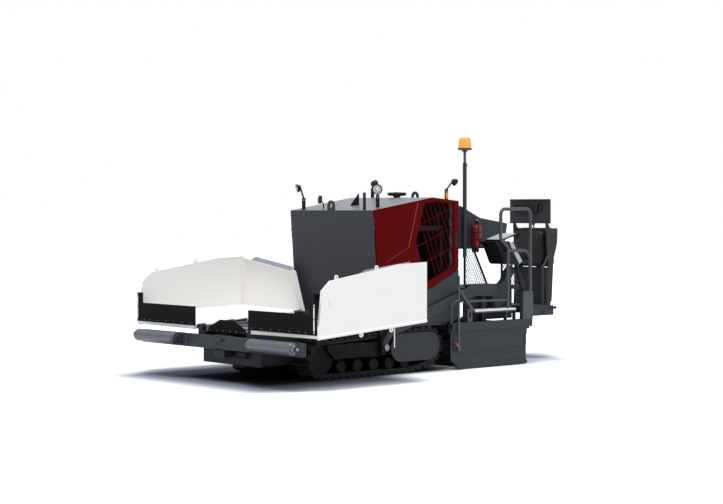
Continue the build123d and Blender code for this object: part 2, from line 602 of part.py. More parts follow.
def tow_bracket():
    """Guide plate outside the track that carries the tow pin."""
    plate = block(590, 710, HOOD_HALF_WIDTH, HOOD_HALF_WIDTH + 10, 215, 640)
    plate = plate + block(692, 710, TRACK_OUTER_Y + 2, HOOD_HALF_WIDTH + 2, 218, 350)
    guide = (block(590, 606, HOOD_HALF_WIDTH + 10, TOW_ARM_OUTER_Y + 12, 215, 240)
             + block(700, 710, HOOD_HALF_WIDTH + 10, TOW_ARM_OUTER_Y + 6, 215, 420))
    pin = disc(TOW_PIN_X, HOOD_HALF_WIDTH + 8, TOW_ARM_OUTER_Y + 8, TOW_PIN_Z, TOW_PIN_R)
    cap = disc(TOW_PIN_X, TOW_ARM_OUTER_Y + 5, TOW_ARM_OUTER_Y + 21, TOW_PIN_Z, 34)
    return [plate, guide, pin, cap]


def screed_body():
    """Centre screed box with the two guide tubes that its extensions slide on."""
    plate = block(SCREED_REAR_X, SCREED_FRONT_X, -SCREED_HALF, SCREED_HALF, SCREED_BOTTOM_Z, 400)
    hollow = block(SCREED_REAR_X + 14, SCREED_FRONT_X - 14, -SCREED_HALF + 12, SCREED_HALF - 12, 60, 410)
    shapes = [plate - hollow]
    for y in (-300, 0, 300):
        shapes.append(block(SCREED_REAR_X + 10, SCREED_FRONT_X - 10, y - 5, y + 5, 55, 395))
    for x in SLIDE_TUBE_X:
        shapes.append(disc(x, -680, 680, SLIDE_TUBE_Z, SLIDE_TUBE_R) - disc(x, -700, 700, SLIDE_TUBE_Z, SLIDE_TUBE_R - 8))
    for y in (-590, -10, 570):
        shapes.append(block(-1340, SCREED_REAR_X + 10, y, y + 20, 395, 475)
                      - disc(SLIDE_TUBE_X[0], y - 5, y + 25, SLIDE_TUBE_Z, SLIDE_TUBE_R - 4)
                      - disc(SLIDE_TUBE_X[1], y - 5, y + 25, SLIDE_TUBE_Z, SLIDE_TUBE_R - 4))
    keep("screed_body", *shapes)


def screed_extension():
    """Sliding half of the screed: open-topped box, end plate and the channel that guides the side gate."""
    box = block(EXTENSION_REAR_X, EXTENSION_FRONT_X, 15, 690, SCREED_BOTTOM_Z, 380)
    box = box - block(EXTENSION_REAR_X + 12, EXTENSION_FRONT_X - 12, 27, 680, 60, 400)
    rib = block(EXTENSION_REAR_X + 10, EXTENSION_FRONT_X - 10, 350, 358, 55, 370)
    end = block(EXTENSION_REAR_X, EXTENSION_FRONT_X, 685, 705, SCREED_BOTTOM_Z, BEAM_TOP_Z)
    front_x, rear_x = GATE_FRONT_X, GATE_REAR_X
    beam = (block(rear_x, front_x, 693, 705, BEAM_BOTTOM_Z, BEAM_TOP_Z)
            + block(rear_x, front_x, 693, GATE_OUTER_Y, BEAM_TOP_Z - 12, BEAM_TOP_Z)
            + block(rear_x, front_x, 738, GATE_OUTER_Y, BEAM_BOTTOM_Z + 28, BEAM_TOP_Z))
    shapes = [box, rib, end, beam]
    for x in SLIDE_TUBE_X:
        collar = block(x - 48, x + 48, 15, 110, 340, 486) - disc(x, 10, 120, SLIDE_TUBE_Z, SLIDE_TUBE_R + 0.1)
        shapes.append(collar)
    return shapes


def side_gate():
    """Floating side gate on its long shoe."""
    plate = side_plate([(GATE_FRONT_X, 110), (GATE_FRONT_X, 425), (-1440, 425), (-1440, 340), (-1424, 320),
                        (-1424, 30), (GATE_FRONT_X - 67, 57)], 715, 727)
    shoe = side_plate([(GATE_FRONT_X - 67, 57), (GATE_FRONT_X - 90, 18), (GATE_FRONT_X - 110, 8), (-1420, 8),
                       (-1432, 20), (-1432, 50)], 709, 737)
    rail = side_plate([(GATE_FRONT_X - 20, 202), (GATE_FRONT_X - 20, 182), (-1415, 160), (-1415, 182)], 727, 737)
    shapes = [plate, shoe, rail]
    for x in (-400, -1360):
        shapes.append(block(x - 40, x + 40, 705.5, 737.5, 400, 425))
    shapes.append(block(-1420, -1396, 727, 736, 210, 330))
    return shapes


def side_rail():
    """Step, box post, handrails, grab bar and stays on the outer end of the screed."""
    post = block(-1516, -1356, 694, 748, BEAM_TOP_Z, 800)
    tall = pipe([(-1126, RAIL_Y, STEP_TOP_Z - 10), (-1126, RAIL_Y, 1290), (-1012, RAIL_Y, 1370),
                 (-1012, RAIL_Y, 1701), (-1486, RAIL_Y, 1701), (-1486, RAIL_Y, 790)], RAIL_R, 60)
    cross_bar = pipe([(-1126, RAIL_Y, 1248), (-1420, RAIL_Y, 1248), (-1486, RAIL_Y, 1165)], RAIL_R - 1, 60)
    step = block(-1240, -600, 605, 748, STEP_TOP_Z - 30, STEP_TOP_Z)
    step = step - block(-1232, -608, 613, 740, STEP_TOP_Z - 40, STEP_TOP_Z - 6)
    shapes = [post, tall, cross_bar, step]
    for x in (-1095, -1235):
        shapes.append(block(x - 5, x + 5, 700, 745, BEAM_TOP_Z, STEP_TOP_Z - 4))
    shapes.append(side_plate([(-400, 850), (-370, 835), (-585, 600), (-620, 606)], 724, 736))
    shapes.append(rod((-520, 730, 722), (-1126, 730, 715), 12))
    hanger = side_plate([(-505, 640), (-505, 500), (-575, 500), (-575, 640)], 724, 732)
    oval = side_plate([(-525, 600), (-525, 548), (-540, 536), (-555, 548), (-555, 600), (-540, 612)], 720, 736)
    shapes.append(hanger - oval)
    shapes.append(pipe([(-270, 722, BEAM_TOP_Z), (-270, 722, 690), (CRANK_X, CRANK_Y, 752)], 11, 34))
    return shapes


def console():
    """Operator panel with its tilted face, the sunshade and the arm that stands on the box post."""
    body = side_plate([(-952, 1352), (-1010, 1300), (-1104, 1118), (-1135, 1100), (-1345, 1100), (-1392, 1128),
                       (-1245, 1330), (-1180, 1352)], 470, 700)
    strip = side_plate([(-1238, 1338), (-1252, 1338), (-1418, 1106), (-1404, 1096)], 478, 692)
    shade = (side_plate([(-1057, 1350), (-1050, 1366), (-1290, 1432), (-1298, 1420)], 466, 704)
             + block(-1090, -1060, 466, 704, 1344, 1366))
    arm = rod((-1290, 690, 1140), (-1410, 690, 780), 22) - block(-1516, -1356, 694, 748, BEAM_TOP_Z, 800)
    arm = arm - block(-1600, -1200, 600, 760, 700, 800)
    return [body, strip, shade, arm]


def crank_post():
    """Thickness crank: long post, its guides and the bent handle at its foot."""
    post = rod((CRANK_X, CRANK_Y, 210), (CRANK_X, CRANK_Y, 1000), 13)
    low = block(CRANK_X - 20, CRANK_X + 20, GATE_OUTER_Y, CRANK_Y, 440, 480)
    high = block(CRANK_X - 66, CRANK_X + 6, 728, CRANK_Y, 828, 844)
    collar = rod((CRANK_X, CRANK_Y, 205), (CRANK_X, CRANK_Y, 262), 24)
    handle = rod((CRANK_X, CRANK_Y, 245), (CRANK_X + 78, CRANK_Y + 38, 292), 10)
    return [post, low, high, collar, handle]


def auger():
    """Spreading screw: tube with helical flights."""
    shaft = disc(AUGER_X, 70, 640, AUGER_Z, 30)
    start = 90
    turn = Helix(AUGER_PITCH, 2.5 * AUGER_PITCH, 30, center=(0, 0, 0), direction=(0, 0, 1))
    section = make_face(Polyline((24, 0, -4), (AUGER_R, 0, -3), (AUGER_R, 0, 3), (24, 0, 4), close=True).edges())
    flight = sweep(section, path=turn, is_frenet=True)
    flight = Pos(AUGER_X, start, AUGER_Z) * Rot(-90, 0, 0) * flight
    return [shaft, flight]


def auger_carrier():
    gearbox = block(-480, FRAME_REAR_X, -55, 55, 190, 540)
    return [gearbox, disc(AUGER_X, -68, 68, AUGER_Z, 60)]


# ---------------------------------------------------------------- rear deck and seat
def rear_deck():
    deck = block(SPINE_REAR_X, HOOD_REAR_X, -SPINE_HALF_WIDTH, SPINE_HALF_WIDTH, SPINE_Z - 40, SPINE_Z)
    drop = block(SPINE_REAR_X, SPINE_REAR_X + 30, -60, 60, 505, SPINE_Z - 10)
    arm = block(SEAT_SLIDE_X, SPINE_REAR_X + 10, -60, 60, 508, 542)
    slide = block(SEAT_SLIDE_X - 50, SEAT_SLIDE_X + 50, SEAT_CENTRE_Y - 322, SEAT_CENTRE_Y + 322, 515, 535)
    guard = mesh_guard()
    keep("rear_deck", deck, drop, arm, slide, guard, mirrored(guard))


def tank_box():
    """Plate box between hood and seat, open underneath, with the beacon's mast tube on its side."""
    profile = [(HOOD_REAR_X, BOX_BOTTOM_Z), (HOOD_REAR_X, 1740), (-836, 1735), (-1136, 1604),
               (-1576, 1540), (-1530, BOX_BOTTOM_Z)]
    inner = [(HOOD_REAR_X + 20, BOX_BOTTOM_Z - 20), (HOOD_REAR_X + 20, 1730), (-838, 1725), (-1134, 1595),
             (-1565, 1532), (-1521, BOX_BOTTOM_Z - 20)]
    box = side_plate(profile, -SPINE_HALF_WIDTH, SPINE_HALF_WIDTH)
    box = box - side_plate(inner, -SPINE_HALF_WIDTH + 10, SPINE_HALF_WIDTH - 10)
    mast_tube = (rod((MAST_X, MAST_Y, 1170), (MAST_X, MAST_Y, 2205), 22)
                 - rod((MAST_X, MAST_Y, 1180), (MAST_X, MAST_Y, 2215), 15.2))
    shapes = [box, mast_tube]
    for z in (1320, 1660):
        shapes.append(block(MAST_X - 20, MAST_X + 20, SPINE_HALF_WIDTH - 5, MAST_Y - 18, z - 20, z + 20))
    shapes.append(rod((MAST_X - 36, MAST_Y, 2180), (MAST_X - 18, MAST_Y, 2180), 8))
    keep("tank_box", *shapes)


def mesh_guard():
    outline = [(-1490, SPINE_Z), (-1490, BOX_BOTTOM_Z), (-1640, BOX_BOTTOM_Z), (-1876, SPINE_Z)]
    inner = [(-1510, SPINE_Z + 20), (-1510, BOX_BOTTOM_Z - 20), (-1628, BOX_BOTTOM_Z - 20), (-1842, SPINE_Z + 20)]
    return side_plate(outline, 280, 300) - side_plate(inner, 270, 310) + side_plate(outline, 288, 292)


def seat_pod():
    """Sliding platform with the seat shell, its cheeks, head board, lap bars and the tip-up hinge."""
    y0, y1 = SEAT_CENTRE_Y - 330, SEAT_CENTRE_Y + 330
    top = block(PLATFORM_REAR_X, PLATFORM_FRONT_X, y0, y1, 588, 600)
    rear = block(PLATFORM_REAR_X, PLATFORM_REAR_X + 10, y0, y1, 490, 600)
    shapes = [top, rear]
    for y in (y0, y1 - 12):
        side = side_plate([(PLATFORM_REAR_X, 600), (PLATFORM_REAR_X, 490), (PLATFORM_FRONT_X - 30, 490),
                           (PLATFORM_FRONT_X, 520), (PLATFORM_FRONT_X, 600)], y, y + 12)
        slot = block(SEAT_SLIDE_X - 50.5, SEAT_SLIDE_X + 50.5, y - 1, y + 13, 514.5, 535.5)
        shapes.append(side - slot)
    for sign in (-1, 1):
        inner = SEAT_CENTRE_Y + sign * SEAT_HALF_WIDTH
        outer = SEAT_CENTRE_Y + sign * (SEAT_HALF_WIDTH + 12)
        cheek = side_plate([(-2200, 1560), (-2225, 1560), (-2270, 1480), (-2395, 1480), (-2395, 1330), (-2380, 1260),
                            (-2330, 1120), (-2300, 640), (-2240, 600), (-2210, 600), (-2240, 1080),
                            (-2210, 1300)], min(inner, outer), max(inner, outer))
        middle = (inner + outer) / 2
        lap_bar = pipe([(-2146, middle, 598), (-2146, middle, 1020), (-2262, middle, 1200)], 14, 70)
        shapes += [cheek, lap_bar]
        post = side_plate([(-2204, 1500), (-2230, 1500), (-2230, 1800), (-2204, 1800)],
                          min(inner, outer), max(inner, outer))
        shapes.append(post)
    board = cross_plate([(SEAT_CENTRE_Y - 311, 1535), (SEAT_CENTRE_Y - 311, 1802), (SEAT_CENTRE_Y - 298, 1815),
                         (SEAT_CENTRE_Y + 299, 1815), (SEAT_CENTRE_Y + 312, 1802), (SEAT_CENTRE_Y + 312, 1535)],
                        -2218, -2206)
    rim = block(-2218, -2190, SEAT_CENTRE_Y - 298, SEAT_CENTRE_Y + 299, 1803, 1815)
    shapes += [board, rim]
    lamp_box = block(-2210, -2150, SEAT_CENTRE_Y - 210, SEAT_CENTRE_Y + 150, 1655, 1770)
    lamp_box = chamfer(lamp_box.edges().filter_by(Axis.Y).group_by(Axis.X)[-1], 22)
    shapes.append(lamp_box)
    shapes.append(block(-2290, -2215, SEAT_CENTRE_Y - SEAT_HALF_WIDTH - 5, SEAT_CENTRE_Y + SEAT_HALF_WIDTH + 5,
                        598, 1030))
    shapes.append(disc(SEAT_HINGE_X, SEAT_CENTRE_Y - 190, SEAT_CENTRE_Y + 190, SEAT_HINGE_Z, 9))
    for y in (-190, -10, 170):
        shapes.append(block(-2240, SEAT_HINGE_X + 12, SEAT_CENTRE_Y + y, SEAT_CENTRE_Y + y + 20, 1010, 1062))
    lever = rod((PLATFORM_REAR_X + 30, y1 - 2, 560), (PLATFORM_REAR_X + 30, y1 + 46, 575), 7)
    knob = rod((PLATFORM_REAR_X + 30, y1 + 40, 573), (PLATFORM_REAR_X + 30, y1 + 62, 580), 16)
    keep("seat_frame", *shapes, lever + knob)
    half = SEAT_HALF_WIDTH - 10
    back = block(-2392, -2262, SEAT_CENTRE_Y - half, SEAT_CENTRE_Y + half, 1030, 1490)
    back = fillet(back.edges().filter_by(Axis.X).group_by(Axis.Z)[-1], 60)
    keep("seat_back", back)


def tip_up_seat():
    """Seat pan on its hinge, stored folded up against the backrest."""
    pan = block(-2180, -2168, SEAT_CENTRE_Y - 200, SEAT_CENTRE_Y + 200, 1062, 1450)
    pan = fillet(pan.edges().filter_by(Axis.X).group_by(Axis.Z)[-1], 50)
    shapes = [pan]
    for y in (-150, 110):
        y0, y1 = SEAT_CENTRE_Y + y, SEAT_CENTRE_Y + y + 40
        lug = disc(SEAT_HINGE_X, y0, y1, SEAT_HINGE_Z, 18) + block(SEAT_HINGE_X, -2168, y0, y1, SEAT_HINGE_Z, 1080)
        shapes.append(lug - disc(SEAT_HINGE_X, y0 - 1, y1 + 1, SEAT_HINGE_Z, 9.1))
    keep("seat_pan", *shapes)
    cushion = block(-2250, -2180, SEAT_CENTRE_Y - 200, SEAT_CENTRE_Y + 200, 1085, 1445)
    keep("seat_cushion", fillet(cushion.edges().filter_by(Axis.X).group_by(Axis.Z)[-1], 48))


def beacon():
    """Telescoping mast, beacon base and lens."""
    mast = rod((MAST_X, MAST_Y, 1500), (MAST_X, MAST_Y, 2350), 15)
    base = Pos(MAST_X, MAST_Y, 2345) * Cylinder(76, 22, align=(Align.CENTER, Align.CENTER, Align.MIN))
    neck = Pos(MAST_X, MAST_Y, 2320) * Cone(18, 40, 25, align=(Align.CENTER, Align.CENTER, Align.MIN))
    outline = Polyline((0, 2367), (70, 2367), (64, 2462), (54, 2480), (0, 2486), close=True)
    lens = Pos(MAST_X, MAST_Y, 0) * revolve(Plane.XZ * make_face(outline.edges()), axis=Axis.Z)
    keep("beacon_mast", mast, base, neck)
    keep("beacon_lens", lens)


def extinguisher():
    """Bottle with its valve and the bracket that holds it on the tank box."""
    x, y = -1029, SPINE_HALF_WIDTH + 60
    outline = Polyline((0, 1290), (48, 1290), (54, 1298), (54, 1492), (38, 1522), (18, 1534), (18, 1552), (26, 1556),
                       (26, 1574), (14, 1590), (0, 1590), close=True)
    bottle = Pos(x, y, 0) * revolve(Plane.XZ * make_face(outline.edges()), axis=Axis.Z)
    trigger = block(x - 52, x + 10, y - 8, y + 8, 1566, 1580)
    bracket = block(x - 24, x + 24, SPINE_HALF_WIDTH, y - 46, 1340, 1470)
    keep("extinguisher", bottle, trigger, bracket)


def door_hinge(on_hood):
    """Hinge knuckles on the raked axis at the door's front edge, with the pin in the hood's knuckles."""
    def on_axis(z):
        return (HINGE_X - (HOOD_FRONT_Z - z) * HOOD_RAKE, HINGE_Y, z)

    pieces = []
    for z in DOOR_KNUCKLES:
        if on_hood:
            for low, high in ((z - 62, z - 22), (z + 22, z + 62)):
                lug = rod(on_axis(low), on_axis(high), KNUCKLE_R)
                x = on_axis(z)[0]
                web = block(x, x + 14, HINGE_Y - KNUCKLE_R, HINGE_Y + KNUCKLE_R, low + 1, high - 1)
                pieces.append(lug + web)
            pieces.append(rod(on_axis(z - 60), on_axis(z + 60), DOOR_PIN_R))
        else:
            barrel = rod(on_axis(z - 21), on_axis(z + 21), KNUCKLE_R)
            x = on_axis(z)[0]
            web = block(x - 16, x - 3, HINGE_Y - KNUCKLE_R, HINGE_Y + KNUCKLE_R, z - 20, z + 20)
            pieces.append(barrel + web - rod(on_axis(z - 40), on_axis(z + 40), DOOR_PIN_R + 0.1))
    return pieces


def lower_body():
    """Tanks on both sides of the conveyor tunnel, the bay floor and the front bulkhead over the tunnel."""
    inner, outer = FRAME_HALF_WIDTH - 24, HOOD_HALF_WIDTH
    foot = hood_front(BAY_FLOOR_Z)
    tank = side_plate([(hood_front(LOWER_BODY_Z), LOWER_BODY_Z), (foot, BAY_FLOOR_Z), (HOOD_REAR_X, BAY_FLOOR_Z),
                       (HOOD_REAR_X, 560), (HOOD_REAR_X + 55, LOWER_BODY_Z)], inner, outer)
    rebate = side_plate([(800, 846), (18, 846), (-34, 871), (800, 871)], outer - DOOR_THICK - DOOR_GAP, outer + 1)
    tank = tank - rebate
    ledge = block(-290, 690, inner, outer - 10, FRAME_TOP_Z, LOWER_BODY_Z + 5)
    floor = block(HOOD_REAR_X, foot - 12, -inner - 2, inner + 2, BAY_FLOOR_Z - 10, BAY_FLOOR_Z)
    lintel = block(foot - 12, foot - 4, -inner - 2, inner + 2, 800, BAY_FLOOR_Z)
    keep("lower_body", tank, mirrored(tank), ledge, mirrored(ledge), floor, lintel)


def lamp(place, aim, head_r, depth):
    """Round work lamp: a shallow bowl with a rim, and its lens; returns bowl and lens."""
    centre, way = Vector(*place), Vector(*aim).normalized()
    back = centre - way * depth
    bowl = Plane(origin=back, z_dir=way) * Cone(head_r * 0.55, head_r, depth * 0.7,
                                                align=(Align.CENTER, Align.CENTER, Align.MIN))
    rim = Plane(origin=back + way * depth * 0.7, z_dir=way) * Cylinder(
        head_r, depth * 0.3, align=(Align.CENTER, Align.CENTER, Align.MIN))
    seat = Plane(origin=centre - way * 5, z_dir=way) * Cylinder(
        head_r - 5, 10, align=(Align.CENTER, Align.CENTER, Align.MIN))
    lens = Plane(origin=centre - way * 5, z_dir=way) * Cylinder(
        head_r - 5, 6, align=(Align.CENTER, Align.CENTER, Align.MIN))
    return bowl + rim - seat, lens


# ---------------------------------------------------------------- assembly
def build_all():
    main_frame()
    conveyor()
    hood_shell()
    lower_body()
    engine()
    cooler_pack()
    roof_fittings()
    push_beam()
    screed_body()
    rear_deck()
    tank_box()
    apron_flap()
    seat_pod()
    tip_up_seat()
    beacon()
    extinguisher()
    paired = {"track": [track()], "track_frame": track_frame() + running_gear() + drive_cover() + tow_bracket(),
              "engine_door": side_door(),
              "wing": wing(), "wing_flap": wing_flap(), "push_roller": [push_roller()],
              "tow_arm": tow_arm(), "screed_extension": screed_extension(), "side_gate": side_gate(),
              "side_rail": side_rail() + crank_post(), "console": console(),
              "auger": auger()}
    for name, shapes in paired.items():
        whole = shapes[0]
        for shape in shapes[1:]:
            whole = whole + shape
        for side, sign in SIDES:
            PARTS[f"{name}_{side}"] = on_side(whole, sign)


os.makedirs("parts", exist_ok=True)
build_all()
for node_name, shape in PARTS.items():
    export_step(shape, f"parts/{node_name}.step")
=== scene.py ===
import json
import math

import bmesh
import bpy
from mathutils import Matrix, Vector


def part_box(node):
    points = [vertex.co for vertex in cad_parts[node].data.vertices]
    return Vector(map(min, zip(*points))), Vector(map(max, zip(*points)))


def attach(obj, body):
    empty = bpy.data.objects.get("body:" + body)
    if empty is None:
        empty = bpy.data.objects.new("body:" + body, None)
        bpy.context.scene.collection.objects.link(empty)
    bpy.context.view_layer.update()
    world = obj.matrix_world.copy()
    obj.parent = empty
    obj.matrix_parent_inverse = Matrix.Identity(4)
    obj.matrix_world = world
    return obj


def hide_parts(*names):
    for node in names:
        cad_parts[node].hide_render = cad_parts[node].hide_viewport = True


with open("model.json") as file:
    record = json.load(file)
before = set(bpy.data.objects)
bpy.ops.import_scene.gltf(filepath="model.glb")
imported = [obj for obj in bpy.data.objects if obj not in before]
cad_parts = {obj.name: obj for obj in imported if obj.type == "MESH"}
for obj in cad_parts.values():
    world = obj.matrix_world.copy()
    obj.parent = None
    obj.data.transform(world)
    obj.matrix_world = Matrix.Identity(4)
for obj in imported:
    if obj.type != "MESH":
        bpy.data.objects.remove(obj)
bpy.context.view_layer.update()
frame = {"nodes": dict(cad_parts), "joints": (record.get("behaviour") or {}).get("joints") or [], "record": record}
NODES = frame["nodes"]
JOINTS = {joint["name"]: joint for joint in frame["joints"]}
SIDES = (("left", 1), ("right", -1))
FORWARD, UP = (1, 0, 0), (0, 0, 1)


def top_corner(name):
    """Highest X, Y and Z of a CAD node at rest."""
    return tuple(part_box(name)[1])


# places that the trim takes from the solids, in metres; of a pair, the left one's
HOOD_FRONT_X, HOOD_SIDE, RIDGE_Z = top_corner("hood_shell")
DOOR_FACE = top_corner("engine_door_left")[1]
APRON_FACE = top_corner("apron_flap")[0]
TRACK_FRAME_FACE = top_corner("track_frame_left")[1]
TOW_ARM_FACE = top_corner("tow_arm_left")[1]
EXTENSION_FACE = top_corner("screed_extension_left")[1]
GUARD_Z = top_corner("rear_deck")[2]
ROLLER_AXLE = JOINTS["push_roller_spin_left"]["pos_m"]
TOW_PIN = JOINTS["screed_lift"]["pos_m"]


# ---------------------------------------------------------------- shader node tools
def node(tree, kind, inputs=None, **settings):
    """New shader node with its settings and the values of its inputs."""
    made = tree.nodes.new("ShaderNode" + kind)
    for key, value in settings.items():
        setattr(made, key, value)
    for key, value in (inputs or {}).items():
        made.inputs[key].default_value = value
    return made


def links(tree, *pairs):
    """Join each output to its input."""
    for source, target in pairs:
        tree.links.new(source, target)


def noise(tree, place, scale, detail):
    """Output of a noise texture over a place."""
    made = node(tree, "TexNoise", {"Scale": scale, "Detail": detail})
    links(tree, (place, made.inputs["Vector"]))
    return made.outputs["Fac"]


def mapped(tree, value, inputs, **settings):
    """Output of a map range node fed with a value."""
    made = node(tree, "MapRange", inputs, **settings)
    links(tree, (value, made.inputs["Value"]))
    return made.outputs["Result"]


def product(tree, first, second):
    """Output that multiplies two others."""
    made = node(tree, "Math", operation="MULTIPLY")
    links(tree, (first, made.inputs[0]), (second, made.inputs[1]))
    return made.outputs[0]


def mixed(tree, share, first, second, blend="MIX"):
    """Output between two colours; first is a colour or an output, second is a colour."""
    made = node(tree, "MixRGB", {2: (*second[:3], 1)}, blend_type=blend)
    links(tree, (share, made.inputs["Fac"]))
    if isinstance(first, bpy.types.NodeSocket):
        links(tree, (first, made.inputs[1]))
    else:
        made.inputs[1].default_value = (*first[:3], 1)
    return made.outputs[0]


# ---------------------------------------------------------------- camera, light and floor
def facing(direction):
    """Rotation that points an object's -Z axis in a direction."""
    return direction.to_track_quat("-Z", "Y").to_euler()


def add_camera():
    """Camera solved from the photograph."""
    data = bpy.data.cameras.new("camera")
    data.lens = 85
    data.sensor_width = 36
    data.clip_end = 200
    camera = bpy.data.objects.new("camera", data)
    bpy.context.collection.objects.link(camera)
    camera.location = (12.5013, 13.4075, 1.7143)
    yaw, pitch = math.radians(227.8305), math.radians(-1.48096)
    aim = Vector((math.cos(yaw) * math.cos(pitch), math.sin(yaw) * math.cos(pitch), math.sin(pitch)))
    camera.rotation_euler = facing(aim)
    bpy.context.scene.camera = camera


def add_sun(name, towards, strength, spread):
    """Soft sun; towards points from the machine to the light, spread is its size in degrees."""
    data = bpy.data.lights.new(name, "SUN")
    data.energy = strength
    data.angle = math.radians(spread)
    lamp = bpy.data.objects.new(name, data)
    bpy.context.collection.objects.link(lamp)
    lamp.location = Vector(towards) * 10
    lamp.rotation_euler = facing(-lamp.location)


def add_world():
    """White backdrop for the camera, and a dimmer, cooler fill for everything else."""
    world = bpy.data.worlds.new("studio")
    bpy.context.scene.world = world
    world.use_nodes = True
    tree = world.node_tree
    tree.nodes.clear()
    out = node(tree, "OutputWorld")
    mix = node(tree, "MixShader")
    seen = node(tree, "Background", {"Color": (1, 1, 1, 1), "Strength": 1.0})
    fill = node(tree, "Background", {"Color": (0.93, 0.96, 1.0, 1), "Strength": 0.66})
    path = node(tree, "LightPath")
    links(tree, (path.outputs["Is Camera Ray"], mix.inputs["Fac"]), (fill.outputs[0], mix.inputs[1]),
          (seen.outputs[0], mix.inputs[2]), (mix.outputs[0], out.inputs["Surface"]))


def box_mask(tree, place, centre, half, soft):
    """Output that is 1 inside a box on the floor and fades to 0 over a soft border."""
    offset = node(tree, "VectorMath", {1: (*centre, 0)}, operation="SUBTRACT")
    size = node(tree, "VectorMath", operation="ABSOLUTE")
    over = node(tree, "VectorMath", {1: (*half, 0)}, operation="SUBTRACT")
    outside = node(tree, "VectorMath", {1: (0, 0, 0)}, operation="MAXIMUM")
    length = node(tree, "VectorMath", operation="LENGTH")
    links(tree, (place, offset.inputs[0]), (offset.outputs[0], size.inputs[0]),
          (size.outputs[0], over.inputs[0]), (over.outputs[0], outside.inputs[0]),
          (outside.outputs[0], length.inputs[0]))
    fade = {"From Min": 0.0, "From Max": soft, "To Min": 1.0, "To Max": 0.0}
    return mapped(tree, length.outputs["Value"], fade, interpolation_type="SMOOTHSTEP")


# painted shadows: soft dark patches on the floor under the hopper, under the tracks and frame, and under the
# screed:
# centre, half size, width of the soft border, colour
PAINTED_FLOOR_SHADOWS = (
    ((1.65, -0.05), (0.75, 0.95), 0.60, (0.20, 0.205, 0.235)),
    ((0.95, 0.0), (1.10, 0.50), 0.45, (0.07, 0.07, 0.08)),
    ((-1.6, 0.0), (0.45, 0.45), 0.50, (0.45, 0.46, 0.50)),
)


def add_floor():
    """Matt floor: nearly white to the camera, a little darker to the light that it throws back, with shadows
    painted under the machine.
    """
    half = 60
    mesh = bpy.data.meshes.new("floor")
    corners = [(-half, -half, 0), (half, -half, 0), (half, half, 0), (-half, half, 0)]
    mesh.from_pydata(corners, [], [(0, 1, 2, 3)])
    floor = bpy.data.objects.new("floor", mesh)
    bpy.context.collection.objects.link(floor)
    mat = bpy.data.materials.new("floor")
    mat.use_nodes = True
    tree = mat.node_tree
    shader = tree.nodes["Principled BSDF"]
    seen = node(tree, "LightPath").outputs["Is Camera Ray"]
    shaded = mixed(tree, seen, (0.80, 0.81, 0.83), (1.06, 1.09, 1.15))
    place = node(tree, "TexCoord").outputs["Object"]
    # these patches darken the floor under the machine: painted shadows
    for centre, half_size, soft, colour in PAINTED_FLOOR_SHADOWS:
        shaded = mixed(tree, box_mask(tree, place, centre, half_size, soft), shaded, colour, "MULTIPLY")
    links(tree, (shaded, shader.inputs["Base Color"]))
    shader.inputs["Roughness"].default_value = 1.0
    shader.inputs["Specular IOR Level"].default_value = 0.0
    mesh.materials.append(mat)


add_camera()
add_world()
add_floor()
add_sun("key", (0.16, 0.10, 1.0), 2.3, 24)
add_sun("side", (0.4, 0.9, 0.5), 0.35, 50)
bpy.context.scene.view_settings.view_transform = "Standard"


# ---------------------------------------------------------------- materials
BUMP_DEPTH = 0.002


def painted(name, colour, rough=0.42, grain=350.0, bump=0.04, wear=0.25, wear_colour=(0.3, 0.3, 0.31),
            dust=0.12, metallic=0.0, coat=0.0, mottle=0.10, edge=0.004, shine=0.35):
    """Paint or bare metal with fine texture, faint mottling, rounded and lightly worn edges."""
    mat = bpy.data.materials.new(name)
    mat.use_nodes = True
    tree = mat.node_tree
    shader = tree.nodes["Principled BSDF"]
    for key, value in (("Metallic", metallic), ("Specular IOR Level", shine), ("Coat Weight", coat),
                       ("Coat Roughness", 0.15)):
        shader.inputs[key].default_value = value
    place = node(tree, "TexCoord").outputs["Object"]
    normal = node(tree, "NewGeometry").outputs["Normal"]
    fine = noise(tree, place, grain, 3)
    broad = noise(tree, place, 3.2, 5)
    broken = noise(tree, place, 38, 4)
    tone = mixed(tree, broad, [c * (1 - mottle) for c in colour], [min(1, c * (1 + mottle)) for c in colour])
    # edges are where the rounded normal leaves the face's own; wear breaks up along them
    bevel = node(tree, "Bevel", {"Radius": edge}, samples=4)
    dot = node(tree, "VectorMath", operation="DOT_PRODUCT")
    links(tree, (bevel.outputs["Normal"], dot.inputs[0]), (normal, dot.inputs[1]))
    edge_range = {"From Min": 0.995, "From Max": 0.80, "To Min": 0.0, "To Max": wear}
    edge_map = mapped(tree, dot.outputs["Value"], edge_range)
    worn = mixed(tree, product(tree, edge_map, broken), tone, wear_colour)
    # a breath of dust on surfaces that look up
    up = node(tree, "SeparateXYZ")
    links(tree, (normal, up.inputs[0]))
    dust_map = mapped(tree, up.outputs["Z"], {"From Min": 0.3, "From Max": 1.0, "To Max": dust})
    dusty = mixed(tree, product(tree, dust_map, broad), worn, (0.42, 0.43, 0.45))
    roughness = mapped(tree, broad, {"To Min": rough - 0.06, "To Max": rough + 0.08})
    raised = node(tree, "Bump", {"Strength": bump, "Distance": BUMP_DEPTH})
    links(tree, (dusty, shader.inputs["Base Color"]), (roughness, shader.inputs["Roughness"]),
          (fine, raised.inputs["Height"]), (bevel.outputs["Normal"], raised.inputs["Normal"]),
          (raised.outputs["Normal"], shader.inputs["Normal"]))
    return mat


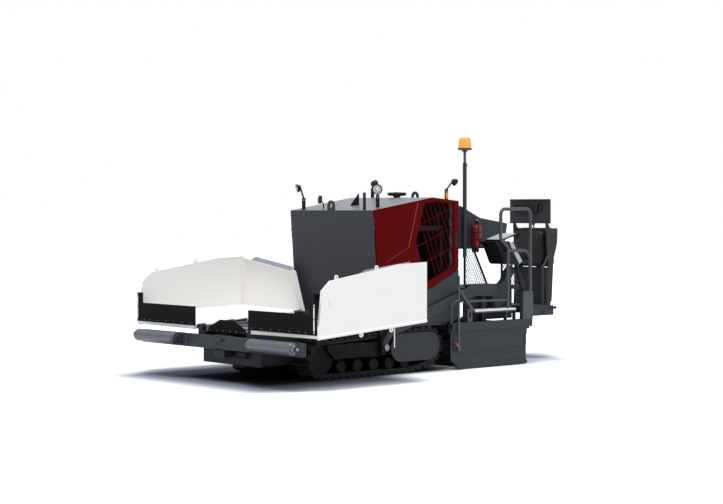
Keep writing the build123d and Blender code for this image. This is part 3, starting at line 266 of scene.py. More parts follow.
def glassy(name, colour, rough, transmission, glow=0.0):
    """Moulded clear or tinted lens with vertical flutes."""
    mat = bpy.data.materials.new(name)
    mat.use_nodes = True
    tree = mat.node_tree
    shader = tree.nodes["Principled BSDF"]
    for key, value in (("Base Color", (*colour, 1)), ("Roughness", rough),
                       ("Transmission Weight", transmission),
                       ("Emission Color", (*colour, 1)), ("Emission Strength", glow)):
        shader.inputs[key].default_value = value
    place = node(tree, "TexCoord").outputs["Object"]
    flutes = node(tree, "TexWave", {"Scale": 60})
    raised = node(tree, "Bump", {"Strength": 0.25, "Distance": BUMP_DEPTH})
    links(tree, (place, flutes.inputs["Vector"]), (flutes.outputs["Fac"], raised.inputs["Height"]),
          (raised.outputs["Normal"], shader.inputs["Normal"]))
    return mat


PAINTS = {
    # the solids' own slots
    "frame_black": dict(colour=(0.017, 0.018, 0.022), rough=0.5, bump=0.08, wear=0.30, shine=0.3),
    "body_grey": dict(colour=(0.033, 0.036, 0.045), bump=0.05, wear_colour=(0.22, 0.23, 0.25), dust=0.06,
                      edge=0.010, shine=0.25),
    "body_red": dict(colour=(0.108, 0.0016, 0.0024), grain=500, bump=0.02, wear=0.06,
                     wear_colour=(0.30, 0.01, 0.012), dust=0.0, mottle=0.05, shine=0.03),
    "wing_white": dict(colour=(0.845, 0.83, 0.805), rough=0.38, bump=0.015, wear=0.12,
                       wear_colour=(0.55, 0.56, 0.58), dust=0.0, mottle=0.015, shine=0.2),
    "rubber": dict(colour=(0.0065, 0.0065, 0.0075), rough=0.75, grain=900, bump=0.16, wear=0.15,
                   wear_colour=(0.05, 0.05, 0.05), dust=0.02, shine=0.10),
    "track_rubber": dict(colour=(0.010, 0.0105, 0.012), rough=0.62, grain=260, bump=0.22, wear=0.55,
                         wear_colour=(0.10, 0.105, 0.115), edge=0.006, shine=0.25),
    "running_steel": dict(colour=(0.014, 0.015, 0.017), rough=0.5, grain=180, bump=0.14, wear=0.45,
                          shine=0.3),
    "wear_steel": dict(colour=(0.16, 0.17, 0.20), rough=0.40, grain=220, bump=0.10, wear=0.2, metallic=0.3),
    "roller_grey": dict(colour=(0.070, 0.076, 0.095), rough=0.26, edge=0.006, shine=1.0),
    "plastic_black": dict(colour=(0.008, 0.008, 0.009), rough=0.5, grain=700, bump=0.12, wear=0.1,
                          shine=0.25),
    "rail_grey": dict(colour=(0.042, 0.046, 0.058), rough=0.34, bump=0.03, wear=0.2, edge=0.003, shine=0.6),
    "seat_vinyl": dict(colour=(0.022, 0.0205, 0.0195), rough=0.50, grain=420, bump=0.35, wear=0.1, edge=0.02),
    "extinguisher_red": dict(colour=(0.24, 0.006, 0.008), rough=0.28, bump=0.01, wear=0.05, coat=0.3),
    "radiator": dict(colour=(0.022, 0.023, 0.025), rough=0.6, bump=0.1, shine=0.2),
    # paints of the trim, and a darker paint for the solids in the machine's own shade: painted shade
    "chassis_painted_shade": dict(colour=(0.0065, 0.0068, 0.0085), rough=0.6, bump=0.08, wear=0.12,
                         wear_colour=(0.06, 0.06, 0.07), dust=0.02, shine=0.2),
    "bright_steel": dict(colour=(0.34, 0.35, 0.38), rough=0.3, bump=0.05, wear=0.1, metallic=0.7),
    "bolt_zinc": dict(colour=(0.10, 0.105, 0.115), rough=0.35, bump=0.05, wear=0.3),
    # pale strip in the door's crease: painted highlight
    "crease_painted_highlight": dict(colour=(0.46, 0.20, 0.20), rough=0.3, bump=0.01, wear=0.0),
    "pocket_black": dict(colour=(0.010, 0.010, 0.011), rough=0.5, bump=0.06),
    "cap_blue": dict(colour=(0.23, 0.25, 0.31), rough=0.4, bump=0.05),
    "handle_red": dict(colour=(0.60, 0.045, 0.022), rough=0.4, bump=0.02),
    "tread_alu": dict(colour=(0.80, 0.81, 0.84), rough=0.35, bump=0.05, dust=0.0, metallic=0.1),
    "strip_grey": dict(colour=(0.52, 0.54, 0.58), rough=0.4, bump=0.02, wear=0.05, dust=0.0),
    "key_grey": dict(colour=(0.20, 0.21, 0.22), rough=0.5, bump=0.02),
    "key_red": dict(colour=(0.45, 0.02, 0.02), rough=0.35, bump=0.0),
    "lamp_chrome": dict(colour=(0.75, 0.76, 0.78), rough=0.12, bump=0.0, wear=0.0, dust=0.0, metallic=1.0),
    "reflector_amber": dict(colour=(0.85, 0.30, 0.03), rough=0.25, bump=0.05, wear=0.0, dust=0.0),
    "visor_grey": dict(colour=(0.46, 0.49, 0.56), rough=0.3, bump=0.02, wear=0.05, dust=0.0),
    # the roof's lighter grey stands in for the sky's sheen on its slopes: painted sheen
    "roof_painted_sheen": dict(colour=(0.13, 0.135, 0.145), rough=0.30, bump=0.03, wear=0.05, dust=0.35, edge=0.008,
                       shine=0.9),
    "piping": dict(colour=(0.055, 0.052, 0.050), rough=0.45, bump=0.1, wear=0.05, dust=0.0),
}
LOOKS = {name: painted(name, **values) for name, values in PAINTS.items()}
LOOKS["amber_lens"] = glassy("amber_lens", (0.92, 0.50, 0.10), rough=0.18, transmission=0.35, glow=0.12)
LOOKS["lamp_lens"] = glassy("lamp_lens", (0.80, 0.82, 0.84), rough=0.08, transmission=0.5)

# solids deep in the machine's shade take the darker paint instead of their own: painted shade
SHADE_PAINTED_NODES = ("track_frame_left", "track_frame_right", "engine_block", "cooler_pack", "exhaust_pipe")

for part in frame["record"]["subparts"]:
    look = "chassis_painted_shade" if part["node"] in SHADE_PAINTED_NODES else part["material_slot"]
    slots = NODES[part["node"]].data.materials
    slots.clear()
    slots.append(LOOKS[look])


# ---------------------------------------------------------------- small modelling tools
def add_object(bm, name, body, look, smooth=False):
    """Turn a finished bmesh into a piece that rides on a body."""
    bmesh.ops.recalc_face_normals(bm, faces=bm.faces)
    mesh = bpy.data.meshes.new(name)
    bm.to_mesh(mesh)
    bm.free()
    mesh.materials.append(LOOKS[look])
    if smooth:
        for face in mesh.polygons:
            face.use_smooth = True
    obj = bpy.data.objects.new(name, mesh)
    bpy.context.collection.objects.link(obj)
    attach(obj, body)
    return obj


def add_tube(name, body, look, points, radius, closed=False):
    """Round tube along a smooth path, or piping along a closed loop."""
    curve = bpy.data.curves.new(name, "CURVE")
    curve.dimensions = "3D"
    curve.bevel_depth = radius
    curve.bevel_resolution = 2 if closed else 3
    curve.use_fill_caps = not closed
    spline = curve.splines.new("NURBS")
    spline.points.add(len(points) - 1)
    for point, place in zip(spline.points, points):
        point.co = (*place, 1)
    spline.order_u = 3
    spline.use_cyclic_u = closed
    spline.use_endpoint_u = not closed
    curve.materials.append(LOOKS[look])
    obj = bpy.data.objects.new(name, curve)
    bpy.context.collection.objects.link(obj)
    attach(obj, body)


def bevelled_box(bm, low, high, edge, segments=2):
    """Box between two corners, with rounded edges unless edge is 0."""
    centre = [(a + b) / 2 for a, b in zip(low, high)]
    scale = Matrix.Diagonal([abs(b - a) for a, b in zip(low, high)]).to_4x4()
    made = bmesh.ops.create_cube(bm, size=1, matrix=Matrix.Translation(centre) @ scale)
    edges = {e for v in made["verts"] for e in v.link_edges}
    if edge:
        bmesh.ops.bevel(bm, geom=list(edges), offset=edge, segments=segments, affect="EDGES")


def lathe(bm, origin, axis, profile, steps):
    """Turned form: profile is (distance along the axis, radius)."""
    axis = Vector(axis).normalized()
    side = axis.orthogonal().normalized()
    other = axis.cross(side)
    turns = [2 * math.pi * step / steps for step in range(steps)]
    spokes = [side * math.cos(turn) + other * math.sin(turn) for turn in turns]
    rings = []
    for along, radius in profile:
        centre = Vector(origin) + axis * along
        rings.append([bm.verts.new(centre + spoke * radius) for spoke in spokes])
    for a, b in zip(rings, rings[1:]):
        for step in range(steps):
            after = (step + 1) % steps
            bm.faces.new((a[step], a[after], b[after], b[step]))
    bm.faces.new(rings[0][::-1])
    bm.faces.new(rings[-1])


def prism(bm, bottom, top):
    """Closed solid between two outlines with the same number of points."""
    low = [bm.verts.new(place) for place in bottom]
    high = [bm.verts.new(place) for place in top]
    bm.faces.new(low[::-1])
    bm.faces.new(high)
    for index in range(len(low)):
        after = (index + 1) % len(low)
        bm.faces.new((low[index], low[after], high[after], high[index]))


def slab(bm, outline, low, high):
    """Upright plate: an outline in X and Z, from low to high along Y."""
    prism(bm, [(x, low, z) for x, z in outline], [(x, high, z) for x, z in outline])


def hex_bolt(bm, place, axis, size):
    """Washer and a six-sided head with a chamfered top."""
    washer = size * 0.14
    lathe(bm, place, axis, [(0, size * 0.95), (washer, size * 0.95)], 14)
    base = Vector(place) + Vector(axis).normalized() * washer
    lathe(bm, base, axis, [(0, size * 0.62), (size * 0.38, size * 0.62), (size * 0.48, size * 0.50)], 6)


def button_head(bm, place, axis, size):
    """Low round head."""
    profile = [(0, size), (size * 0.22, size * 0.96), (size * 0.45, size * 0.70), (size * 0.52, size * 0.3)]
    lathe(bm, place, axis, profile, 14)


def add_bolts(name, body, look, places, axis, size, head=hex_bolt):
    """One mesh of many bolt heads."""
    bm = bmesh.new()
    for place in places:
        head(bm, place, axis, size)
    add_object(bm, name, body, look)


def grid(first, second):
    """All pairs of two lists."""
    return [(a, b) for a in first for b in second]


# ---------------------------------------------------------------- bolts and screws
HOOD_FRONT_TOP = 1.687
HOOD_FRONT_RAKE = 0.040 / 0.587
HOOD_BOLTS = ((-0.434, 1.642), (-0.014, 1.612), (0.41, 1.637), (-0.598, 1.232), (0.554, 1.23), (-0.487, 0.95),
              (0.487, 0.95))
PAD_FACE, FLAP_FACE = 2.278, 2.2350
CLAMP_Y, CLAMP_WIDTH, CLAMP_THICK = 1.420, 0.018, 0.0035


def hood_front(z):
    """X of the hood's raked front wall at a height."""
    return HOOD_FRONT_X - (HOOD_FRONT_TOP - z) * HOOD_FRONT_RAKE


def add_front_bolts():
    """Heads on the hood's front wall, on the apron and on the push beam's pads."""
    hood = [(hood_front(z), y, z) for y, z in HOOD_BOLTS]
    add_bolts("hood_front_bolts", "chassis", "bolt_zinc", hood, (1, 0, 0.07), 0.008, button_head)
    apron = [(APRON_FACE + 0.0005, y, 0.492) for y in (-0.27, -0.16, -0.055, 0.055, 0.16, 0.27)]
    add_bolts("apron_bolts", "chassis", "bolt_zinc", apron, FORWARD, 0.008, button_head)
    pads = [(PAD_FACE, y * sign, z) for _, sign in SIDES
            for y, z in grid((0.514, 0.548), (0.346, 0.368, 0.390, 0.412, 0.430))]
    add_bolts("push_pad_bolts", "push_beam", "bolt_zinc", pads, FORWARD, 0.0075)


def add_flap_clamps(side, sign):
    """Screws of the wing flap's strip, and the pale bar that clamps the flap's outer edge."""
    body = f"wing_{side}"
    strip = [(FLAP_FACE - 0.0002, y * sign, 0.5525) for y in (0.50, 0.64, 0.78, 0.92, 1.06, 1.20, 1.30)]
    add_bolts(f"flap_strip_bolts_{side}", body, "bolt_zinc", strip, FORWARD, 0.0075, button_head)
    clamp = [(FLAP_FACE + CLAMP_THICK, CLAMP_Y * sign, z) for z in (0.565, 0.685, 0.800)]
    add_bolts(f"flap_clamp_bolts_{side}", body, "running_steel", clamp, FORWARD, 0.0070)
    bar = bmesh.new()
    bevelled_box(bar, (FLAP_FACE, (CLAMP_Y - CLAMP_WIDTH / 2) * sign, 0.548),
                 (FLAP_FACE + CLAMP_THICK, (CLAMP_Y + CLAMP_WIDTH / 2) * sign, 0.818), 0.001)
    add_object(bar, f"flap_clamp_bar_{side}", body, "wing_white")


def add_side_bolts(side, sign):
    """Heads on the upright faces of one side."""
    gate, extension, door = f"side_gate_{side}", f"extension_{side}", f"engine_door_{side}"
    # name, body, look, Y of the face, size, kind, places in X and Z
    rows = (
        ("drive_cover_bolts", "chassis", "running_steel", 0.659, 0.009, hex_bolt,
         ((0.385, 0.410), (0.20, 0.410), (-0.02, 0.405), (-0.128, 0.335), (-0.140, 0.240), (-0.07, 0.150),
          (0.12, 0.138), (0.30, 0.138), (0.47, 0.18))),
        ("track_guard_bolts", "chassis", "running_steel", 0.644, 0.009, hex_bolt,
         grid((0.76, 0.92, 1.08, 1.24, 1.37), (0.335,)) + grid((0.76, 0.98, 1.20), (0.222,))),
        ("gate_bolts", gate, "bolt_zinc", 0.727, 0.007, hex_bolt,
         grid((-0.300, -0.318), (0.13, 0.24, 0.29, 0.34))
         + grid((-0.62, -0.80, -0.98, -1.16, -1.34), (0.105, 0.262))),
        ("gate_beam_bolts", extension, "running_steel", EXTENSION_FACE, 0.008, hex_bolt,
         grid((-0.30, -0.52, -0.74, -0.96, -1.18, -1.44), (0.455,))),
        ("box_post_bolts", extension, "running_steel", EXTENSION_FACE - 0.002, 0.008, hex_bolt,
         grid((-1.481, -1.391), (0.54, 0.76))),
        ("tow_arm_bolts", "screed", "running_steel", TOW_ARM_FACE, 0.010, hex_bolt,
         ((0.560, 0.452), (-0.420, 0.742), (-0.445, 0.80), (-0.585, 0.83))),
        ("door_screws", door, "body_red", DOOR_FACE, 0.006, button_head,
         ((0.735, 1.60), (0.702, 1.05), (0.10, 0.885), (-0.42, 1.105), (-0.42, 1.745), (-0.065, 1.795))),
    )
    for name, body, look, face, size, head, places in rows:
        on_face = [(x, face * sign, z) for x, z in places]
        add_bolts(f"{name}_{side}", body, look, on_face, (0, sign, 0), size, head)


add_front_bolts()
for side, sign in SIDES:
    add_flap_clamps(side, sign)
    add_side_bolts(side, sign)


# ---------------------------------------------------------------- side doors
CREASE = ((0.152, 1.776), (0.287, 1.303), (0.598, 1.160))
CREASE_HALF = 0.0018
VENT = [(0.060, 1.762), (0.182, 1.368), (0.112, 1.165), (0.007, 0.932), (-0.378, 1.100), (-0.378, 1.762),
        (-0.113, 1.786)]
VENT_CENTRE = (-0.1, 1.40)


def drawn_in(place, share):
    """Place on the vent's outline, moved towards the vent's centre."""
    return tuple(c + (p - c) * share for p, c in zip(place, VENT_CENTRE))


def add_door_trim(side, sign):
    """Painted highlight along the pressed crease, inward lip round the vent, and the handle in its pocket."""
    body = f"engine_door_{side}"
    # the crease's catch of light is painted as a pale strip: painted highlight
    crease = bmesh.new()
    for (x0, z0), (x1, z1) in zip(CREASE, CREASE[1:]):
        outline = [(x0 - CREASE_HALF, z0), (x0 + CREASE_HALF, z0), (x1 + CREASE_HALF, z1),
                   (x1 - CREASE_HALF, z1)]
        slab(crease, outline, (DOOR_FACE - 0.0018) * sign, (DOOR_FACE + 0.0002) * sign)
    add_object(crease, f"door_crease_{side}", body, "crease_painted_highlight")
    lip = bmesh.new()
    for start, end in zip(VENT, VENT[1:] + VENT[:1]):
        outline = [drawn_in(start, 0.994), drawn_in(end, 0.994), drawn_in(end, 0.982), drawn_in(start, 0.982)]
        slab(lip, outline, (DOOR_FACE - 0.0165) * sign, (DOOR_FACE - 0.0118) * sign)
    add_object(lip, f"vent_lip_{side}", body, "body_red")
    handle = bmesh.new()
    bevelled_box(handle, (-0.4355, 0.6425 * sign, 1.2935), (-0.3985, 0.6435 * sign, 1.4545), 0.0)
    bevelled_box(handle, (-0.4270, 0.6400 * sign, 1.300), (-0.4060, 0.6496 * sign, 1.448), 0.004)
    add_object(handle, f"door_handle_{side}", body, "pocket_black")


for side, sign in SIDES:
    add_door_trim(side, sign)


# ---------------------------------------------------------------- wings
# the back wall's top flange: its front edge runs outwards and up between two places in Y and Z, and its rear
# edge, towards the hood, lies higher by FLANGE_TILT
FLANGE_INNER, FLANGE_OUTER = (0.548, 1.048), (1.385, 1.173)
FLANGE_FRONT, FLANGE_REAR, FLANGE_TILT = 0.872, 0.8125, 0.030
STRIP_COUNT, STRIP_START, STRIP_PITCH, STRIP_GAP, STRIP_THICK = 12, 0.552, 0.056, 0.0006, 0.004


def flange_z(y):
    """Height of the flange's front edge."""
    (y0, z0), (y1, z1) = FLANGE_INNER, FLANGE_OUTER
    return z0 + (y - y0) * (z1 - z0) / (y1 - y0)


def add_wing_trim(side, sign):
    """Stop nub on the long wall, and the bolted blue-grey wear strip on the back wall's flange."""
    body = f"wing_{side}"
    nub = bmesh.new()
    bevelled_box(nub, (2.058, 1.455 * sign, 0.818), (2.088, 1.461 * sign, 0.848), 0.002)
    add_object(nub, f"wing_nub_{side}", body, "wing_white")
    strip = bmesh.new()
    for index in range(STRIP_COUNT):
        y0 = STRIP_START + index * STRIP_PITCH
        y1 = y0 + STRIP_PITCH - STRIP_GAP
        front = [(FLANGE_FRONT, y, flange_z(y)) for y in (y0, y1)]
        rear = [(FLANGE_REAR, y, flange_z(y) + FLANGE_TILT) for y in (y1, y0)]
        prism(strip, front + rear, [(x, y, z + STRIP_THICK) for x, y, z in front + rear])
    for y in (0.62, 0.90, 1.16):
        hex_bolt(strip, (0.842, y, flange_z(y) + 0.019), (0.45, 0, 0.9), 0.009)
    bmesh.ops.scale(strip, vec=(1, sign, 1), verts=strip.verts)
    add_object(strip, f"wing_cap_{side}", body, "cap_blue")


for side, sign in SIDES:
    add_wing_trim(side, sign)


# ---------------------------------------------------------------- rollers, tow pins, crank grips, step treads
TREAD_TOP = 0.624
TREAD_ROWS, TREAD_COLUMNS = 3, 22


def add_roller_cap(side, sign):
    """Bright end cap and axle end of a push roller."""
    x, _, z = ROLLER_AXLE
    bm = bmesh.new()
    rim = [(0, 0.040), (0.004, 0.040), (0.006, 0.034), (0.006, 0.024)]
    lathe(bm, (x, 1.2795 * sign, z), (0, sign, 0), rim, 28)
    lathe(bm, (x, 1.304 * sign, z), (0, sign, 0), [(0, 0.015), (0.006, 0.015), (0.008, 0.011)], 20)
    add_object(bm, f"roller_cap_{side}", f"push_roller_{side}", "bright_steel", True)


def add_tow_pin_face(side, sign):
    """Bright head of the pin that the tow arm turns on."""
    x, _, z = TOW_PIN
    bm = bmesh.new()
    profile = [(0, 0.033), (0.003, 0.033), (0.005, 0.029), (0.005, 0.014), (0.009, 0.012)]
    lathe(bm, (x, TRACK_FRAME_FACE * sign, z), (0, sign, 0), profile, 28)
    add_object(bm, f"tow_pin_face_{side}", "chassis", "bright_steel", True)


def add_crank_grip(side, sign):
    """Red grip on the side gate's crank."""
    path = [(-0.328, 0.7716 * sign, 0.2462), (-0.290, 0.7895 * sign, 0.269), (-0.2545, 0.8068 * sign, 0.2905)]
    add_tube(f"crank_grip_{side}", f"extension_{side}", "handle_red", path, 0.0122)


def add_step_tread(side, sign):
    """Bright tread plate with rows of raised grips, folded over the step's edge."""
    bm = bmesh.new()
    bevelled_box(bm, (-1.238, 0.607 * sign, TREAD_TOP - 0.0025), (-0.602, 0.7475 * sign, TREAD_TOP), 0.0008)
    bevelled_box(bm, (-1.239, 0.7478 * sign, TREAD_TOP - 0.018), (-0.601, EXTENSION_FACE * sign, TREAD_TOP),
                 0.0008)
    for row in range(TREAD_ROWS):
        for column in range(TREAD_COLUMNS):
            place = (-1.222 + column * 0.0285, (0.632 + row * 0.045) * sign, TREAD_TOP)
            lathe(bm, place, UP, [(0, 0.008), (0.0025, 0.007), (0.003, 0.0045)], 8)
    add_object(bm, f"step_tread_{side}", f"extension_{side}", "tread_alu")


for side, sign in SIDES:
    add_roller_cap(side, sign)
    add_tow_pin_face(side, sign)
    add_crank_grip(side, sign)
    add_step_tread(side, sign)


# ---------------------------------------------------------------- consoles
# the sloping key panel, seen from the side: its top edge, the way down it, and the way out of it
PANEL_TOP = (-1.2545, 1.3385)
PANEL_DOWN = (-0.1635, -0.2325)
PANEL_NORMAL = (-0.82, 0, 0.57)
KEY_ROWS, KEY_COLUMNS = 5, 3
ROWS_DOWN_PANEL = 6.2   # key rows that would fill the panel from top to bottom


def add_console_trim(side, sign):
    """Pale key panel with its round keys and the red stop button."""
    body = f"extension_{side}"
    panel = bmesh.new()
    slab(panel, [(-1.2515, 1.3385), (-1.2545, 1.3385), (-1.4210, 1.1060), (-1.4170, 1.1050)],
         0.482 * sign, 0.690 * sign)
    add_object(panel, f"console_strip_{side}", body, "strip_grey")
    keys = bmesh.new()
    for row in range(KEY_ROWS):
        for column in range(KEY_COLUMNS):
            share = (row + 1) / ROWS_DOWN_PANEL
            x, z = (top + share * down for top, down in zip(PANEL_TOP, PANEL_DOWN))
            y = (0.520 + column * 0.062) * sign
            lathe(keys, (x, y, z), PANEL_NORMAL, [(-0.001, 0.012), (0.004, 0.011), (0.006, 0.007)], 12)
    add_object(keys, f"console_keys_{side}", body, "key_grey")
    button = bmesh.new()
    profile = [(0, 0.016), (0.006, 0.016), (0.010, 0.021), (0.016, 0.019), (0.018, 0.010)]
    lathe(button, (-1.268, 0.668 * sign, 1.318), PANEL_NORMAL, profile, 18)
    add_object(button, f"stop_button_{side}", body, "key_red", True)


for side, sign in SIDES:
    add_console_trim(side, sign)


# ---------------------------------------------------------------- lamps, reflector, beacon and extinguisher
# each work lamp: middle of its lens, the way it looks, radius of the lens
LAMPS = (
    ((0.600, 0.508, 1.905), (0.75, 0.62, -0.10), 0.052),
    ((0.806, -0.528, 1.920), (0.85, -0.45, -0.25), 0.042),
    ((-0.300, -0.500, 1.975), (-1.0, 0.0, -0.15), 0.046),
    ((-0.545, 0.505, 1.985), (-0.85, 0.15, -0.50), 0.038),
)
BEACON_X, BEACON_Y, BEACON_FOOT = -0.866, 0.330, 2.369
RIB_COUNT, RIB_RING, RIB_DRAFT, RIB_RISE = 24, 0.0685, 0.006, 0.094
BOTTLE_X, BOTTLE_Y = -1.029, 0.360


def add_lamp_trim(index, place, aim, radius):
    """Bezel round a work lamp's lens, and the bulb's bright cap in the middle of it."""
    aim = Vector(aim).normalized()
    bezel = bmesh.new()
    profile = [(0, radius + 0.001), (0.010, radius + 0.003), (0.0145, radius + 0.001),
               (0.0145, radius - 0.007), (0.010, radius - 0.008)]
    lathe(bezel, Vector(place) - aim * 0.012, aim, profile, 32)
    add_object(bezel, f"lamp_bezel_{index}", "chassis", "plastic_black", True)
    bulb = bmesh.new()
    profile = [(0, radius * 0.34), (0.002, radius * 0.30), (0.0035, radius * 0.16)]
    lathe(bulb, Vector(place) - aim * 0.0005, aim, profile, 20)
    add_object(bulb, f"lamp_bulb_{index}", "chassis", "lamp_chrome", True)


def add_reflector():
    """Amber reflector at the left rear corner of the roof."""
    bm = bmesh.new()
    bevelled_box(bm, (-0.434, 0.5045, 1.812), (-0.392, 0.5105, 1.882), 0.003)
    add_object(bm, "lamp_reflector", "chassis", "reflector_amber")


def add_beacon_ribs():
    """Moulded ribs round the beacon's lens."""
    bm = bmesh.new()
    for step in range(RIB_COUNT):
        angle = 2 * math.pi * step / RIB_COUNT
        across, along = math.cos(angle), math.sin(angle)
        foot = (BEACON_X + RIB_RING * across, BEACON_Y + RIB_RING * along, BEACON_FOOT)
        rise = (-RIB_DRAFT * across, -RIB_DRAFT * along, RIB_RISE)
        lathe(bm, foot, rise, [(0, 0.0016), (0.088, 0.0014)], 5)
    add_object(bm, "beacon_ribs", "beacon", "amber_lens")


def add_extinguisher_trim():
    """Valve with its lever and gauge, two clamp bands and the hose."""
    valve = bmesh.new()
    profile = [(0, 0.0195), (0.014, 0.0195), (0.016, 0.0265), (0.037, 0.0265)]
    lathe(valve, (BOTTLE_X, BOTTLE_Y, 1.536), UP, profile, 20)
    bevelled_box(valve, (-1.083, BOTTLE_Y - 0.009, 1.583), (-1.012, BOTTLE_Y + 0.009, 1.590), 0.002)
    lathe(valve, (BOTTLE_X, 0.405, 1.545), (0, 1, 0), [(0, 0.004), (0.006, 0.010), (0.010, 0.010)], 14)
    add_object(valve, "extinguisher_valve", "chassis", "pocket_black")
    bands = bmesh.new()
    for z in (1.362, 1.442):
        lathe(bands, (BOTTLE_X, BOTTLE_Y, z), UP, [(0, 0.0548), (0.016, 0.0548)], 32)
    add_object(bands, "extinguisher_bands", "chassis", "pocket_black", True)
    hose = [(-1.029, 0.380, 1.556), (-1.010, 0.420, 1.560), (-0.985, 0.425, 1.520), (-0.980, 0.418, 1.440),
            (-0.980, 0.412, 1.350)]
    add_tube("extinguisher_hose", "chassis", "pocket_black", hose, 0.007)


for index, (place, aim, radius) in enumerate(LAMPS):
    add_lamp_trim(index, place, aim, radius)
add_reflector()
add_beacon_ribs()
add_extinguisher_trim()


# ---------------------------------------------------------------- pale skins and roof edges
COVER_FRONT, COVER_REAR, COVER_Z, COVER_RADIUS = 0.400, -0.010, 0.2735, 0.1455
ROOF_LINE = ((0.790, 1.688), (-0.065, RIDGE_Z), (-0.447, 1.787))


def add_side_skins(side, sign):
    """Grey paint on the drive cover's slot-shaped face, and the console's pale visor and edge."""
    cover = bmesh.new()
    arc = [math.radians(angle) for angle in range(-90, 91, 10)]
    outline = [(x + turn * COVER_RADIUS * math.cos(a), COVER_Z + turn * COVER_RADIUS * math.sin(a))
               for x, turn in ((COVER_FRONT, 1), (COVER_REAR, -1)) for a in arc]
    slab(cover, outline, 0.6580 * sign, 0.6602 * sign)
    add_object(cover, f"drive_cover_skin_{side}", "chassis", "body_grey")
    visor = bmesh.new()
    slab(visor, [(-1.0560, 1.3690), (-1.2880, 1.4330), (-1.2884, 1.4352), (-1.0560, 1.3712)],
         0.470 * sign, 0.7000 * sign)
    add_object(visor, f"visor_face_{side}", f"extension_{side}", "visor_grey")
    edge = bmesh.new()
    outline = [(-1.1830, 1.3500), (-1.2440, 1.3280), (-1.3900, 1.1290), (-1.3440, 1.1020), (-1.2200, 1.2700)]
    slab(edge, outline, 0.6995 * sign, 0.7025 * sign)
    add_object(edge, f"console_edge_{side}", f"extension_{side}", "visor_grey")


def add_roof_edges():
    """Red strips along both side edges of the roof."""
    bm = bmesh.new()
    for _, sign in SIDES:
        for (x0, z0), (x1, z1) in zip(ROOF_LINE, ROOF_LINE[1:]):
            slab(bm, [(x0, z0 - 0.013), (x0, z0 - 0.0005), (x1, z1 - 0.0005), (x1, z1 - 0.013)],
                 (HOOD_SIDE - 0.0020) * sign, (HOOD_SIDE + 0.0004) * sign)
    add_object(bm, "roof_edges", "chassis", "body_red")


for side, sign in SIDES:
    add_side_skins(side, sign)
add_roof_edges()


# ---------------------------------------------------------------- rear deck with its mesh guards
DECK_Z = 0.840
GUARD_FRONT, GUARD_TOP, GUARD_FOOT = -1.490, -1.640, -1.876
RIM = 0.018
GUARD_PITCH, GUARD_LEAN = 0.036, 0.55
GUARD_COUNT, GUARD_BAR = 19, 0.006


def clip(bm, place, normal):
    """Cut the whole mesh with a plane, drop what lies on the normal's side and close the cut."""
    geom = bm.verts[:] + bm.edges[:] + bm.faces[:]
    cut = bmesh.ops.bisect_plane(bm, geom=geom, plane_co=place, plane_no=normal, clear_outer=True)
    edges = [item for item in cut["geom_cut"] if isinstance(item, bmesh.types.BMEdge)]
    bmesh.ops.holes_fill(bm, edges=edges)


def add_deck():
    """Deck, the drop arm and slide rail that carry the seat behind it, and the frames of both guards."""
    bm = bmesh.new()
    bevelled_box(bm, (-1.880, -0.300, 0.800), (-0.450, 0.300, DECK_Z), 0.003)
    bevelled_box(bm, (-1.880, -0.060, 0.505), (-1.850, 0.060, 0.830), 0.003)
    bevelled_box(bm, (-2.050, -0.060, 0.508), (-1.870, 0.060, 0.542), 0.003)
    bevelled_box(bm, (-2.100, -0.252, 0.515), (-2.000, 0.392, 0.535), 0.0015)
    post = [(GUARD_FRONT, DECK_Z), (GUARD_FRONT, GUARD_Z), (GUARD_FRONT - RIM, GUARD_Z),
            (GUARD_FRONT - RIM, DECK_Z)]
    top = [(GUARD_FRONT, GUARD_Z), (GUARD_TOP, GUARD_Z), (GUARD_TOP, GUARD_Z - RIM),
           (GUARD_FRONT, GUARD_Z - RIM)]
    rear = [(GUARD_TOP, GUARD_Z), (GUARD_FOOT, DECK_Z), (GUARD_FOOT + RIM * 1.3, DECK_Z),
            (GUARD_TOP + RIM * 1.1, GUARD_Z)]
    for y in (-0.300, 0.280):
        for outline, inset in ((post, 0), (top, 0.0003), (rear, 0.0006)):
            slab(bm, outline, y + inset, y + 0.020 - inset)
    return add_object(bm, "rear_deck_open", "chassis", "frame_black")


def add_guard_bars():
    """Crossed bars of both guards, cut to the guard's outline."""
    bm = bmesh.new()
    height = GUARD_Z - DECK_Z
    for y in (-0.2915, 0.2885):
        for lean in (-1, 1):
            for index in range(GUARD_COUNT):
                x = GUARD_FRONT + 0.10 - index * GUARD_PITCH
                low, high = x - lean * height * GUARD_LEAN / 2, x + lean * height * GUARD_LEAN / 2
                outline = [(low, DECK_Z), (low + GUARD_BAR, DECK_Z), (high + GUARD_BAR, GUARD_Z),
                           (high, GUARD_Z)]
                slab(bm, outline, y, y + 0.003 + 0.0004 * lean)
    clip(bm, (GUARD_FRONT - RIM / 2, 0, 0), FORWARD)
    slope = Vector((-height, 0, GUARD_TOP - GUARD_FOOT)).normalized()
    clip(bm, (GUARD_FOOT + RIM / 2, 0, DECK_Z), slope)
    add_object(bm, "mesh_guard_bars", "chassis", "frame_black")


deck_piece = add_deck()
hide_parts("rear_deck")
add_guard_bars()


# ---------------------------------------------------------------- screed walls, bracket plug and roof skin
SKIN_LINE = ((0.788, 1.688), (-0.065, RIDGE_Z), (-0.447, 1.7873))
SKIN_HALF, SKIN_COLUMNS, SKIN_THICK = HOOD_SIDE - 0.004, 10, 0.0012


